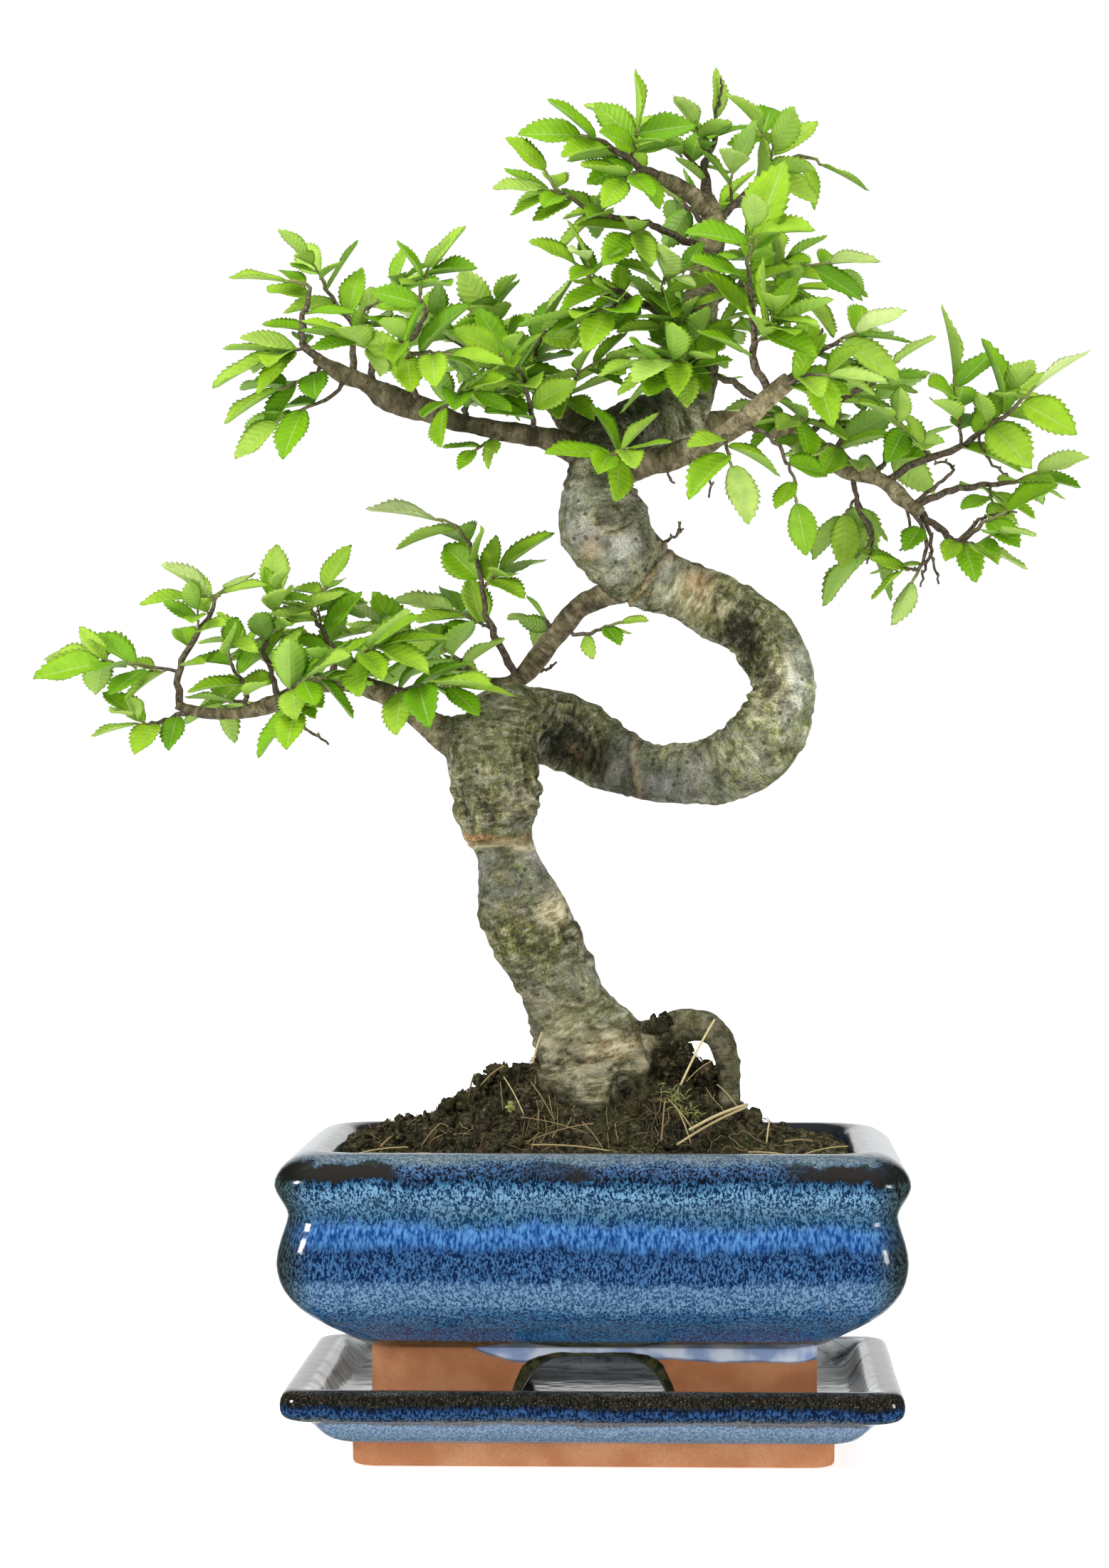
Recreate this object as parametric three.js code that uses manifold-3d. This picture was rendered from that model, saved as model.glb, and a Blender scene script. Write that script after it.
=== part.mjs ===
// Chinese elm bonsai in a glazed pot on a saucer
//
// Millimetres, +Z up. The origin is the centre of the saucer's underside, on the surface the
// saucer stands on. The long side of the pot runs along X, and the front of the tree faces -Y.
//
// The wood is one solid grown from the routes below. Each leafy spray is one solid of its own: a
// twig, the shoots on it, and serrated leaves whose stalks are sunk into the shoots. A spray stops
// a fraction of a millimetre short of the limb that it grows from.

import * as THREE from 'three';
import { mergeVertices } from 'three/addons/utils/BufferGeometryUtils.js';
import Module from 'manifold-3d';

const wasm = await Module();
wasm.setup();

// Clearances

const GAP = 0.35; // between a piece and what it is seated on
const LEAF_CLEARANCE = 0.5; // between a leaf and anything that it doesn't grow from
const SMOOTHING = 0.1; // facets smaller than this are merged

// Pot and saucer
// Both are rounded rectangles. The half depth is the half width less INSET at every height.

const INSET = 25;
const CORNER_STEPS = 3; // facets round each corner

const SAUCER_CORNER = 7;
const SAUCER_FLOOR = 18; // height of the inner floor that the pot stands on
const SAUCER_PROFILE = [ // height, half width, from the underside round the rim to the floor
  [0, 76.4], [1.4, 77.8], [9.6, 77.8], [9.8, 83.5], [16.4, 89.3], [17, 98.2], [18.6, 99.5],
  [25, 99.5], [26.8, 98], [26.4, 90], [22.5, 87.2], [SAUCER_FLOOR, 83],
];

const POT_CORNER = 14;
const POT_UNDERSIDE = 38;
const POT_FLOOR = 46;
const POT_OUTER = [ // height, half width
  [POT_UNDERSIDE, 72], [39.4, 74.5], [41.7, 78.9], [45.1, 85.8], [49.5, 91.7], [56.4, 97.6],
  [61.3, 99.6], [66.2, 100.3], [73.7, 99.1], [81.5, 96.9], [85.5, 99.1], [90.9, 101.8],
  [94.8, 100.7], [98.6, 97.6], [101.4, 93],
];
const POT_INNER = [
  [101.8, 88.5], [99.6, 84], [62, 84], [51, 76], [POT_FLOOR, 66],
];
const SOIL_WALL = [ // the same cavity, up to where the soil's surface starts
  [POT_FLOOR, 66], [51, 76], [62, 84], [94, 84],
];

const FOOT = { top: 39, outer: 71.6, wall: 7 };
const ARCH_FRONT = { floor: 30, top: 14, height: 18.5 }; // half widths at the floor and the top
const ARCH_SIDE = { floor: 19, top: 9, height: 13 };
const ARCH_KNEE = { height: 0.72, in: 0.42 }; // of the arch's height, and of the way out from its top
const DRAIN_HOLE = { x: 35, radius: 6, sides: 9 };

// Soil mound round the base of the trunk

const MOUND = { x: 1, y: 0, base: 95.5, rise: 40, left: 56, right: 46, front: 22, back: 27, power: 1.6 };
const ROOT_MOUND = { x: 30, y: -6, rise: 11, spread: 13 }; // the clod held under the arched root
const SOIL_RINGS = [1, 0.9, 0.79, 0.68, 0.57, 0.46, 0.36, 0.27, 0.18];
const SOIL_SIDE_POINTS = 3; // points along each long side of its rings
const SOIL_CRUMB = 1.3; // relief of the surface

// Wood
// Each route is a list of x, y, z and the radius there. The sides and rings are those of its tube.

const TRUNK_BASE = {
  sides: 9,
  rings: 1,
  route: [
    [3, 0, 88, 20], [2, 0, 100, 20], [1, 0, 111, 19.4], [-0.5, -1, 122, 20], [-2, -2, 131, 19.5],
    [-7.6, -2, 141, 15.4], [-14, -2, 156, 12.6], [-20.3, -3, 168, 14.4], [-26.4, -4, 182, 13.4],
    [-29.9, -5, 197, 9.8], [-33, -6, 208, 13.4], [-33.3, -8, 220, 14.8], [-34.4, -9, 230, 14.2],
    [-33, -8, 240, 13.6],
  ],
};
const TRUNK_LOOP = {
  sides: 9,
  rings: 1,
  route: [
    [-33, -9, 229, 10.5], [-31, -6, 240, 12.6], [-23, 1, 241, 11.2], [-15, 8, 238.4, 13.1],
    [-6, 12, 234, 12.2], [5, 9, 228, 10.8], [16, 6, 224, 9.4], [27, 3, 223, 9.5],
    [38, 0, 224, 10.7], [50, -3, 228.6, 12], [58.6, -4, 238.4, 12], [62, -3, 250, 10.7],
    [59.2, -1, 261.5, 11], [52.6, 2, 271, 10.6], [42, 4, 277.6, 10.8], [29, 4, 284.6, 10],
    [18, 2, 288.6, 11.6], [7.4, -2, 297, 13.6], [2.6, -4, 306, 15.4], [0.8, -4, 316, 12.2],
    [1, -2, 325, 9.6], [2, 1, 332, 10],
  ],
};
const LIMBS = {
  leader: {
    sides: 8,
    route: [
      [2, 0, 327, 9], [6, 5, 335, 10], [16, 11, 339, 10.4], [26, 15, 343, 9.6], [31, 15, 353, 8.4],
      [33, 12, 366, 6.9], [35, 8, 382, 5.7], [38, 4, 398, 4.5], [39, 2, 408, 3.8], [36, 0, 415, 3.2],
    ],
  },
  rightRoot: {
    sides: 8,
    route: [
      [12, -3, 128, 7.4], [18, -5, 137, 7.2], [25, -7, 141.5, 5.9], [33, -9, 143, 5],
      [39.5, -10, 140.5, 4.8], [43.5, -10, 133, 4.5], [44.3, -10, 123, 4.2], [44, -10, 112, 4.1],
      [43.5, -10, 98, 4.4],
    ],
  },
  leftLimb: {
    sides: 7,
    route: [
      [-38, -8, 232, 10], [-44, -8, 234, 8], [-50, -9, 236, 5.8], [-56.5, -10, 240.2, 4.5],
      [-65, -11, 247, 3.8], [-78, -11, 252.5, 3.3], [-91, -9, 253, 3.1], [-104, -8, 247.5, 2.9],
      [-118, -6, 243.5, 2.4], [-131, -6, 243, 2], [-140, -6, 246, 1.5],
    ],
  },
  shoulderLimb: {
    sides: 6,
    route: [
      [12, 5, 286, 5], [2, 10, 283, 4.2], [-6, 13, 279, 3.7], [-15, 18, 269, 3.4],
      [-24, 22, 258, 3.2], [-30, 24, 254, 2.6], [-37, 27, 254, 1.9],
    ],
  },
  upperLeftLimb: {
    sides: 7,
    route: [
      [3, -2, 329, 6.8], [-9, -5, 332, 5], [-21, -8, 335, 3.6], [-43, -12, 338.5, 3.1],
      [-55, -14, 343, 3.6], [-69, -14, 347.5, 4.4], [-76, -14, 352, 3.3], [-85, -13, 356, 2.8],
      [-93, -12, 361, 2.1],
    ],
  },
  frontRightLimb: {
    sides: 7,
    route: [
      [5, -3, 325, 6.4], [15, -10, 325, 4.6], [25, -16, 327.5, 4], [40, -22, 333, 3.8],
      [49, -26, 339, 3.6], [57, -28, 346, 3.2], [64, -28, 352, 2.8],
    ],
  },
  backRightLimb: {
    sides: 7,
    route: [
      [7, 6, 331, 6.8], [23, 16, 335, 5.6], [39, 24, 341, 4.7], [53, 30, 344, 4.2],
      [65, 31, 339, 3.8], [75, 30, 331, 3.3], [85, 28, 326, 3.1], [95, 26, 323, 2.9],
      [102, 24, 317, 2.6], [109, 22, 311, 2.1],
    ],
  },
  middleLeftLimb: {
    sides: 6,
    route: [
      [2, 4, 331, 7.2], [-7, 12, 340, 5.8], [-14, 18, 349, 4.6], [-23, 23, 357, 3.4],
      [-34, 27, 364, 2.4],
    ],
  },
  crownLimb: {
    sides: 6,
    route: [[38, 1, 411, 3.2], [28, -4, 418, 2.9], [20, -8, 421, 2.5]],
  },
};

// Leafy sprays
// twig: the route of the spray's twig, which starts inside its limb. thick: its first and last
// radius. shoots: how far along the twig each shoot starts, from 0 to 1, the point that its last
// leaf reaches, its number of leaves, and their length. The first one carries the twig on.

const SPRAYS = {
  left_tip: {
    thick: [1.6, 0.9],
    twig: [[-139, -6, 246], [-139, -6, 258], [-133, -6, 270], [-127, -6, 281]],
    shoots: [[1, [-150, -13, 284], 6, 20], [0.3, [-184, -17, 262], 7, 24]],
  },
  left_low_tip: {
    thick: [1.2, 0.8],
    twig: [[-134.5, -6, 244], [-146, -8, 240]],
    shoots: [[1, [-167, -15, 239], 5, 18]],
  },
  left_upright: {
    thick: [1.4, 0.8],
    twig: [[-105, -8, 247], [-108, -6, 256], [-111, -3, 265], [-108, 0, 274]],
    shoots: [[1, [-106, 5, 300], 7, 20], [0.45, [-122, 38, 274], 6, 19]],
  },
  left_inner_upright: {
    thick: [1.5, 0.8],
    twig: [[-89, -9, 253], [-87, -6, 262], [-91, -2, 270], [-95, 0, 278]],
    shoots: [[1, [-84, 4, 298], 6, 20], [0.35, [-97, 42, 272], 7, 20]],
  },
  left_low_upright: {
    thick: [1.2, 0.8],
    twig: [[-117, -6, 244], [-117, -8, 252], [-121, -10, 259]],
    shoots: [[1, [-128, -16, 279], 6, 19], [0.2, [-140, 28, 247], 5, 19]],
  },
  left_front: {
    thick: [1.2, 0.9],
    twig: [[-104, -8, 247.5], [-100, -18, 251]],
    shoots: [[1, [-82, -43, 263], 6, 25]],
  },
  left_front_high: {
    thick: [1.2, 0.9],
    twig: [[-82, -10, 253], [-79, -19, 260]],
    shoots: [[1, [-64, -38, 275], 7, 24]],
  },
  left_front_inner: {
    thick: [1.2, 0.9],
    twig: [[-69, -11, 249.5], [-63, -20, 251]],
    shoots: [[1, [-37, -40, 255], 5, 25]],
  },
  left_under: {
    thick: [1, 0.8],
    twig: [[-96, -8.5, 251], [-97, -18, 246]],
    shoots: [[1, [-100, -31, 240], 4, 20]],
  },
  shoulder_upright: {
    thick: [1.8, 0.9],
    twig: [[-28, 23, 255], [-34, 18, 268], [-38, 17, 277], [-40, 15, 291], [-46, 12, 305]],
    shoots: [[1, [-72, 3, 317], 5, 26], [0.65, [-20, 6, 304], 5, 23],
      [0.35, [-66, 22, 287], 6, 22]],
  },
  shoulder_back: {
    thick: [1.7, 1],
    twig: [[-35, 26, 254], [-45, 29, 257], [-58, 33, 262]],
    shoots: [[1, [-86, 51, 278], 7, 22], [0.3, [-62, -10, 273], 6, 22]],
  },
  shoulder_small: {
    thick: [1, 0.7],
    twig: [[-15, 18, 269], [-17, 25, 274]],
    shoots: [[1, [-27, 36, 277], 4, 13]],
  },
  shoulder_inner: {
    thick: [1, 0.7],
    twig: [[-12, 16, 272], [-5, 10, 269.5], [2, -2, 272]],
    shoots: [[1, [14, -12, 274], 4, 13]],
  },
  upper_left_tip: {
    thick: [1.9, 0.9],
    twig: [[-91, -12, 360], [-97, -12, 366], [-97, -12, 375], [-95, -12, 384]],
    shoots: [[1, [-112, -16, 389], 6, 20], [0.25, [-127, -18, 357], 6, 26]],
  },
  upper_left_low: {
    thick: [1, 0.8],
    twig: [[-90, -12.5, 359], [-95, -15, 354]],
    shoots: [[1, [-123, -21, 343], 5, 22]],
  },
  upper_left_under: {
    thick: [1, 0.8],
    twig: [[-82, -13.5, 355], [-89, -16, 347]],
    shoots: [[1, [-122, -23, 331], 6, 22]],
  },
  upper_left_hook: {
    thick: [1.7, 0.9],
    twig: [[-75, -14, 351.5], [-73, -16, 360], [-66, -18, 364], [-60, -20, 367], [-56, -21, 375],
      [-58, -22, 382]],
    shoots: [[1, [-50, -27, 393], 5, 20], [0.22, [-82, -37, 370], 6, 22]],
  },
  upper_left_back: {
    thick: [1.6, 0.9],
    twig: [[-80, -13.5, 353.5], [-81, -6, 367], [-82, -4, 374], [-90, 0, 384]],
    shoots: [[1, [-94, 5, 393], 5, 20], [0.62, [-54, 5, 395], 6, 20],
      [0.4, [-70, 20, 382], 5, 20]],
  },
  upper_left_front: {
    thick: [1.5, 0.9],
    twig: [[-56, -14, 343.5], [-61, -20, 351], [-62, -26, 359], [-54, -36, 360]],
    shoots: [[1, [-36, -44, 358], 6, 23]],
  },
  upper_left_middle: {
    thick: [1.3, 0.9],
    twig: [[-43, -12, 338.5], [-43, -8, 346], [-35, 0, 350]],
    shoots: [[1, [-12, 14, 359], 6, 22]],
  },
  upper_left_inner: {
    thick: [1.4, 0.9],
    twig: [[-20, -8, 335], [-21, -12, 342], [-24, -22, 354]],
    shoots: [[1, [-43, -38, 372], 7, 22]],
  },
  upper_left_front_low: {
    thick: [1.2, 0.9],
    twig: [[-52, -13.5, 342], [-47, -26, 346]],
    shoots: [[1, [-30, -48, 352], 6, 22]],
  },
  upper_left_small: {
    thick: [0.9, 0.7],
    twig: [[-32, -10, 337], [-35, -16, 333]],
    shoots: [[1, [-43, -25, 327], 4, 13]],
  },
  middle_left_tip: {
    thick: [1.6, 0.9],
    twig: [[-32, 26.5, 363], [-45, 29, 368]],
    shoots: [[1, [-70, 38, 384], 7, 22]],
  },
  middle_left_upright: {
    thick: [1.3, 0.9],
    twig: [[-30, 25.5, 361.5], [-34, 26, 370]],
    shoots: [[1, [-42, 22, 390], 7, 21]],
  },
  middle_left_inner: {
    thick: [1.3, 0.9],
    twig: [[-22, 22.5, 356], [-21, 16, 366]],
    shoots: [[1, [-11, 4, 388], 7, 21]],
  },
  middle_left_back: {
    thick: [1.3, 0.9],
    twig: [[-20, 21.5, 354.5], [-27, 36, 362]],
    shoots: [[1, [-40, 66, 376], 7, 22]],
  },
  middle_left_front: {
    thick: [1.3, 0.9],
    twig: [[-12, 16, 346.5], [-8, 2, 353]],
    shoots: [[1, [-1, -24, 366], 6, 22]],
  },
  centre_left: {
    thick: [2.2, 1],
    twig: [[33.5, 11.5, 369], [22, 0, 376], [10, -10, 381], [-1, -16, 386]],
    shoots: [[1, [-14, -24, 398], 7, 21], [0.65, [-5, -38, 366], 6, 23],
      [0.35, [24, -30, 399], 6, 22]],
  },
  centre_front: {
    thick: [1.4, 0.9],
    twig: [[32.5, 13, 361], [29, -4, 359]],
    shoots: [[1, [16, -34, 352], 6, 22]],
  },
  centre_back: {
    thick: [1.6, 0.9],
    twig: [[33, 12.5, 364], [29, 30, 375], [25, 44, 381]],
    shoots: [[1, [18, 64, 396], 7, 22], [0.6, [42, 58, 373], 6, 22]],
  },
  centre_right: {
    thick: [2, 1],
    twig: [[34.5, 9, 378.5], [48, 16, 388], [63, 20, 393]],
    shoots: [[1, [97, 24, 399], 7, 22], [0.85, [78, -8, 373], 6, 22],
      [0.45, [62, 47, 411], 6, 22]],
  },
  front_right_top: {
    thick: [1.9, 1],
    twig: [[58, -28, 347], [52, -28, 356], [52, -27, 366], [51, -25, 380], [50, -24, 390]],
    shoots: [[1, [61, -30, 417], 7, 28], [0.42, [74, -42, 381], 6, 24]],
  },
  front_right_inner: {
    thick: [1.7, 0.9],
    twig: [[54.5, -27, 344], [47, -22, 351], [40, -16, 354], [33, -12, 361], [29, -9, 369]],
    shoots: [[1, [6, -24, 374], 6, 22], [0.7, [12, -44, 356], 6, 23]],
  },
  front_right_hanging: {
    thick: [1.1, 0.7],
    twig: [[47, -25, 337], [56, -26, 334], [61, -23, 329], [65, -21, 320]],
    shoots: [[1, [67, -20, 303], 4, 19]],
  },
  front_right_tip: {
    thick: [1.6, 0.9],
    twig: [[62, -28, 350.5], [70, -24, 358], [78, -19, 364]],
    shoots: [[1, [103, -17, 377], 6, 23]],
  },
  front_right_under: {
    thick: [1, 0.8],
    twig: [[43, -23.5, 335], [43, -30, 331]],
    shoots: [[1, [47, -36, 314], 4, 23]],
  },
  front_right_low: {
    thick: [1.3, 0.9],
    twig: [[59.5, -28, 348], [68, -33, 352]],
    shoots: [[1, [91, -42, 352], 6, 22]],
  },
  front_centre: {
    thick: [1.2, 0.9],
    twig: [[11, -7, 325.5], [7, -19, 328]],
    shoots: [[1, [1, -42, 326], 4, 24]],
  },
  right_tip: {
    thick: [1.9, 0.9],
    twig: [[97, 25.5, 322], [110, 20, 329], [120, 14, 332], [128, 10, 337], [140, 3, 346]],
    shoots: [[1, [158, -5, 364], 6, 26], [0.76, [146, 17, 362], 5, 22],
      [0.56, [117, 1, 378], 6, 26], [0.3, [87, -9, 352], 6, 22]],
  },
  right_low_tip: {
    thick: [1.8, 0.9],
    twig: [[106, 23, 314], [120, 24, 319], [131, 26, 321], [141, 28, 322]],
    shoots: [[1, [156, 27, 328], 5, 20], [0.7, [134, 15, 308], 3, 19]],
  },
  right_end: {
    thick: [1.8, 0.8],
    twig: [[107.5, 22.5, 312], [116, 20, 305], [121, 16, 301], [129, 13, 307]],
    shoots: [[1, [152, 9, 320], 4, 20], [0.6, [138, 13, 297], 4, 20]],
  },
  right_hanging: {
    thick: [1, 0.7],
    twig: [[105, 23.3, 314.8], [110, 17, 303], [110, 18, 295]],
    shoots: [[1, [104, 20, 284], 4, 18]],
  },
  right_hanging_inner: {
    thick: [1.2, 0.8],
    twig: [[86.5, 27.5, 325.5], [88, 34, 316], [93, 38, 304]],
    shoots: [[1, [78, 43, 283], 5, 20], [0.45, [76, 41, 301], 4, 22]],
  },
  right_back: {
    thick: [1.6, 0.9],
    twig: [[79, 29, 328.5], [84, 39, 339], [88, 46, 346]],
    shoots: [[1, [103, 45, 360], 6, 21], [0.6, [70, 62, 360], 6, 22]],
  },
  right_top: {
    thick: [1.7, 0.9],
    twig: [[69.5, 30.8, 335.5], [75, 21, 342], [82, 8, 349], [92, -1, 353]],
    shoots: [[1, [110, -17, 370], 6, 22], [0.3, [58, -18, 341], 6, 21]],
  },
  right_inner: {
    thick: [1.2, 0.9],
    twig: [[89, 27.2, 325], [80, 13, 333]],
    shoots: [[1, [66, -8, 330], 6, 20]],
  },
  right_back_low: {
    thick: [1.3, 0.9],
    twig: [[93, 26.5, 323.7], [99, 36, 331]],
    shoots: [[1, [115, 50, 342], 6, 20]],
  },
  crown_left: {
    thick: [2.2, 1.1],
    twig: [[22, -7, 420.5], [14, -11, 424], [3, -14, 431]],
    shoots: [[1, [-22, -21, 439], 6, 22], [0.6, [17, -22, 452], 6, 20],
      [0.4, [1, -34, 412], 5, 20]],
  },
  crown_top: {
    thick: [2.4, 0.9],
    twig: [[36.5, 0.5, 413.5], [36, 3, 425], [39, 5, 434]],
    shoots: [[1, [41, 6, 456], 5, 17], [0.45, [0, 2, 449], 6, 20], [0.7, [26, -10, 452], 5, 19]],
  },
  crown_right: {
    thick: [1.9, 0.9],
    twig: [[39, 2.2, 406], [46, 5, 414], [56, 8, 423], [68, 12, 430]],
    shoots: [[1, [80, 12, 426], 5, 20], [0.62, [66, -8, 446], 6, 22],
      [0.3, [44, -29, 432], 6, 22]],
  },
  crown_low_left: {
    thick: [1.8, 0.9],
    twig: [[38, 4, 397], [24, -4, 403], [15, -8, 406], [1, -12, 408], [-12, -17, 415]],
    shoots: [[1, [-23, -23, 431], 5, 19], [0.93, [-32, -26, 420], 5, 19],
      [0.7, [-11, 8, 414], 5, 19], [0.42, [1, -30, 394], 6, 21]],
  },
  crown_back: {
    thick: [1.5, 0.9],
    twig: [[38.3, 3.5, 401], [33, 20, 412], [27, 36, 419]],
    shoots: [[1, [16, 56, 430], 6, 21], [0.5, [53, 48, 423], 6, 21]],
  },
};

const TWIG_SIDES = 4;
const SHOOT = { sides: 4, radius: 0.95, tip: 0.8, leafOverhang: 0.85, shortest: 9 };

// Leaves
// One side of a blade's edge: distance along it and half width, over its length and its width.
// The sharp steps are its teeth.

const LARGE_BLADE_EDGE = [[0.25, 0.36], [0.46, 0.5], [0.52, 0.39], [0.76, 0.33]];
const SMALL_BLADE_EDGE = [[0.24, 0.34], [0.54, 0.5], [0.61, 0.38]];
const BLADE = {
  large: 20.5, // length from which a leaf has the larger blade's teeth
  slender: 0.5, // width over length
  thick: 0.95, // at the rib, from the root to the middle
  middle: 0.45, // where along the rib its two faces are highest
  fold: 0.16, // rise of each half from the rib, over its half width
  droop: 0.1, // drop of the tip, over the leaf's length
};
const LEAF_ANGLE = { end: 8, side: 54, vary: 26 }; // degrees between a leaf and its shoot
const LEAF_SAG = 0.12; // drop of its rib's direction
const LEAF_LENGTH = { least: 0.84, vary: 0.22, lower: 0.2 }; // of its shoot's leaf length
const LEAF_STEP = { most: 6.5, sunk: 1.2, bare: 3 }; // distances along a shoot, from its end down
const LEAF_TURNS = [0, 28, -28, 56, -56]; // degrees about its shoot that a crowded leaf may turn
const LEAF_SIZES = [1, 0.82]; // and the sizes it may have
const LEAF_SHARE = 0.43;
const TREE_AXIS = [0, 5]; // x, y of the line that blades lean away from
const LEAF_FACING = { outward: 0.5, up: 0.6, light: 0.45, backFrom: 30, random: 0.8 };

const COLOURS = {
  leaf: 0x6fae1e,
  bark: 0x84806a,
  soil: 0x2f261c,
  glaze: 0x1d4f93,
  saucer: 0x1a3f78,
};

// Solids and booleans

function toSolid(geometry) {
  geometry.deleteAttribute('normal');
  geometry.deleteAttribute('uv');
  const merged = mergeVertices(geometry, 1e-4);
  return new wasm.Manifold(new wasm.Mesh({
    numProp: 3,
    vertProperties: new Float32Array(merged.attributes.position.array),
    triVerts: new Uint32Array(merged.index.array),
  }));
}

function toGeometry(solid) {
  const mesh = solid.getMesh();
  const geometry = new THREE.BufferGeometry();
  geometry.setAttribute('position', new THREE.BufferAttribute(mesh.vertProperties, 3));
  geometry.setIndex(new THREE.BufferAttribute(mesh.triVerts, 1));
  geometry.computeVertexNormals();
  return geometry;
}

function union(solids) {
  return solids.reduce((sum, solid) => sum.add(solid));
}

function largestPiece(solid) {
  const pieces = solid.decompose();
  return pieces.reduce((best, piece) => (piece.volume() > best.volume() ? piece : best));
}

// A closed body through a list of rings, each a list of points that turns the same way, with a
// flat fan over the first and the last ring. It is turned right side out if it comes inside out.
function loft(rings) {
  const points = rings.flat();
  const sides = rings[0].length;
  const index = [];
  for (let i = 0; i + 1 < rings.length; i += 1) {
    for (let j = 0; j < sides; j += 1) {
      const a = i * sides + j;
      const b = i * sides + ((j + 1) % sides);
      index.push(a, b, b + sides, a, b + sides, a + sides);
    }
  }
  const last = (rings.length - 1) * sides;
  for (let j = 1; j + 1 < sides; j += 1) {
    index.push(0, j + 1, j, last, last + j, last + j + 1);
  }
  return closedBody(points, index);
}

function closedBody(points, index) {
  let volume = 0;
  for (let i = 0; i < index.length; i += 3) {
    const [a, b, c] = [points[index[i]], points[index[i + 1]], points[index[i + 2]]];
    volume += a.dot(new THREE.Vector3().crossVectors(b, c));
  }
  const order = volume < 0 ? index.toReversed() : index;
  const geometry = new THREE.BufferGeometry();
  geometry.setAttribute('position', new THREE.Float32BufferAttribute(
    points.flatMap((p) => [p.x, p.y, p.z]), 3));
  geometry.setIndex(order);
  return toSolid(geometry);
}

// Repeatable draws from 0 to 1

function draw(a, b, c) {
  const s = Math.sin(a * 12.9898 + b * 78.233 + c * 37.719) * 43758.5453;
  return s - Math.floor(s);
}

// Pot, saucer and soil

function roundedRing(height, halfWidth, corner) {
  const halfDepth = halfWidth - INSET;
  const ring = [];
  const corners = [[1, 1, 0], [-1, 1, 90], [-1, -1, 180], [1, -1, 270]];
  for (const [sx, sy, start] of corners) {
    for (let i = 0; i <= CORNER_STEPS; i += 1) {
      const angle = THREE.MathUtils.degToRad(start + (90 * i) / CORNER_STEPS);
      ring.push(new THREE.Vector3(
        sx * (halfWidth - corner) + corner * Math.cos(angle),
        sy * (halfDepth - corner) + corner * Math.sin(angle),
        height));
    }
  }
  return ring;
}

// The same ring with steps more points on each long side, and one more on each short side.
function withSidePoints(ring, steps) {
  const perCorner = CORNER_STEPS + 1;
  return ring.flatMap((point, i) => {
    const next = ring[(i + 1) % ring.length];
    const onSide = (i + 1) % perCorner === 0;
    const extra = onSide ? (Math.floor(i / perCorner) % 2 ? 1 : steps) : 0;
    return [point, ...Array.from({ length: extra }, (unused, k) => point.clone()
      .lerp(next, (k + 1) / (extra + 1)))];
  });
}

function archThrough(arch, alongX) {
  const low = SAUCER_FLOOR - 2;
  const top = SAUCER_FLOOR + arch.height;
  const shoulder = SAUCER_FLOOR + arch.height * ARCH_KNEE.height;
  const knee = arch.top + (arch.floor - arch.top) * ARCH_KNEE.in;
  const shape = new THREE.Shape([
    new THREE.Vector2(-arch.floor, low), new THREE.Vector2(-knee, shoulder),
    new THREE.Vector2(-arch.top, top), new THREE.Vector2(arch.top, top),
    new THREE.Vector2(knee, shoulder), new THREE.Vector2(arch.floor, low),
  ]);
  const reach = FOOT.outer + 10;
  const geometry = new THREE.ExtrudeGeometry(shape, { depth: 2 * reach, bevelEnabled: false });
  geometry.translate(0, 0, -reach);
  geometry.rotateX(Math.PI / 2);
  if (alongX) {
    geometry.rotateZ(Math.PI / 2);
  }
  return toSolid(geometry);
}

function makePot() {
  const outer = POT_OUTER.map(([z, half]) => roundedRing(z, half, POT_CORNER));
  const inner = POT_INNER.map(([z, half]) => roundedRing(z, half, POT_CORNER - 5));
  const bowl = loft([...outer, ...inner]);
  const low = SAUCER_FLOOR + GAP;
  const footOutside = loft([
    roundedRing(low, FOOT.outer - 1, POT_CORNER - 3), roundedRing(low + 1, FOOT.outer, POT_CORNER - 2),
    roundedRing(FOOT.top, FOOT.outer, POT_CORNER - 2),
  ]);
  const insideHalf = FOOT.outer - FOOT.wall;
  const footInside = loft([
    roundedRing(low - 1, insideHalf, POT_CORNER - 7),
    roundedRing(POT_UNDERSIDE, insideHalf, POT_CORNER - 7),
  ]);
  const arches = archThrough(ARCH_FRONT, false).add(archThrough(ARCH_SIDE, true));
  let pot = bowl.add(footOutside.subtract(footInside).subtract(arches));
  for (const side of [-1, 1]) {
    const drill = new THREE.CylinderGeometry(
      DRAIN_HOLE.radius, DRAIN_HOLE.radius, POT_FLOOR - POT_UNDERSIDE + 4, DRAIN_HOLE.sides);
    drill.rotateX(Math.PI / 2);
    drill.translate(side * DRAIN_HOLE.x, 0, (POT_FLOOR + POT_UNDERSIDE) / 2);
    pot = pot.subtract(toSolid(drill));
  }
  return pot.simplify(SMOOTHING);
}

function makeSaucer() {
  return loft(SAUCER_PROFILE.map(([z, half]) => roundedRing(z, half, SAUCER_CORNER)));
}

function soilHeight(x, y) {
  const dx = x - MOUND.x;
  const dy = y - MOUND.y;
  const far = Math.hypot(
    dx / (dx < 0 ? MOUND.left : MOUND.right), dy / (dy < 0 ? MOUND.front : MOUND.back));
  const clod = Math.hypot(x - ROOT_MOUND.x, y - ROOT_MOUND.y) / ROOT_MOUND.spread;
  return MOUND.base + MOUND.rise * Math.exp(-(far ** MOUND.power))
    + ROOT_MOUND.rise * Math.exp(-(clod ** 2));
}

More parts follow.
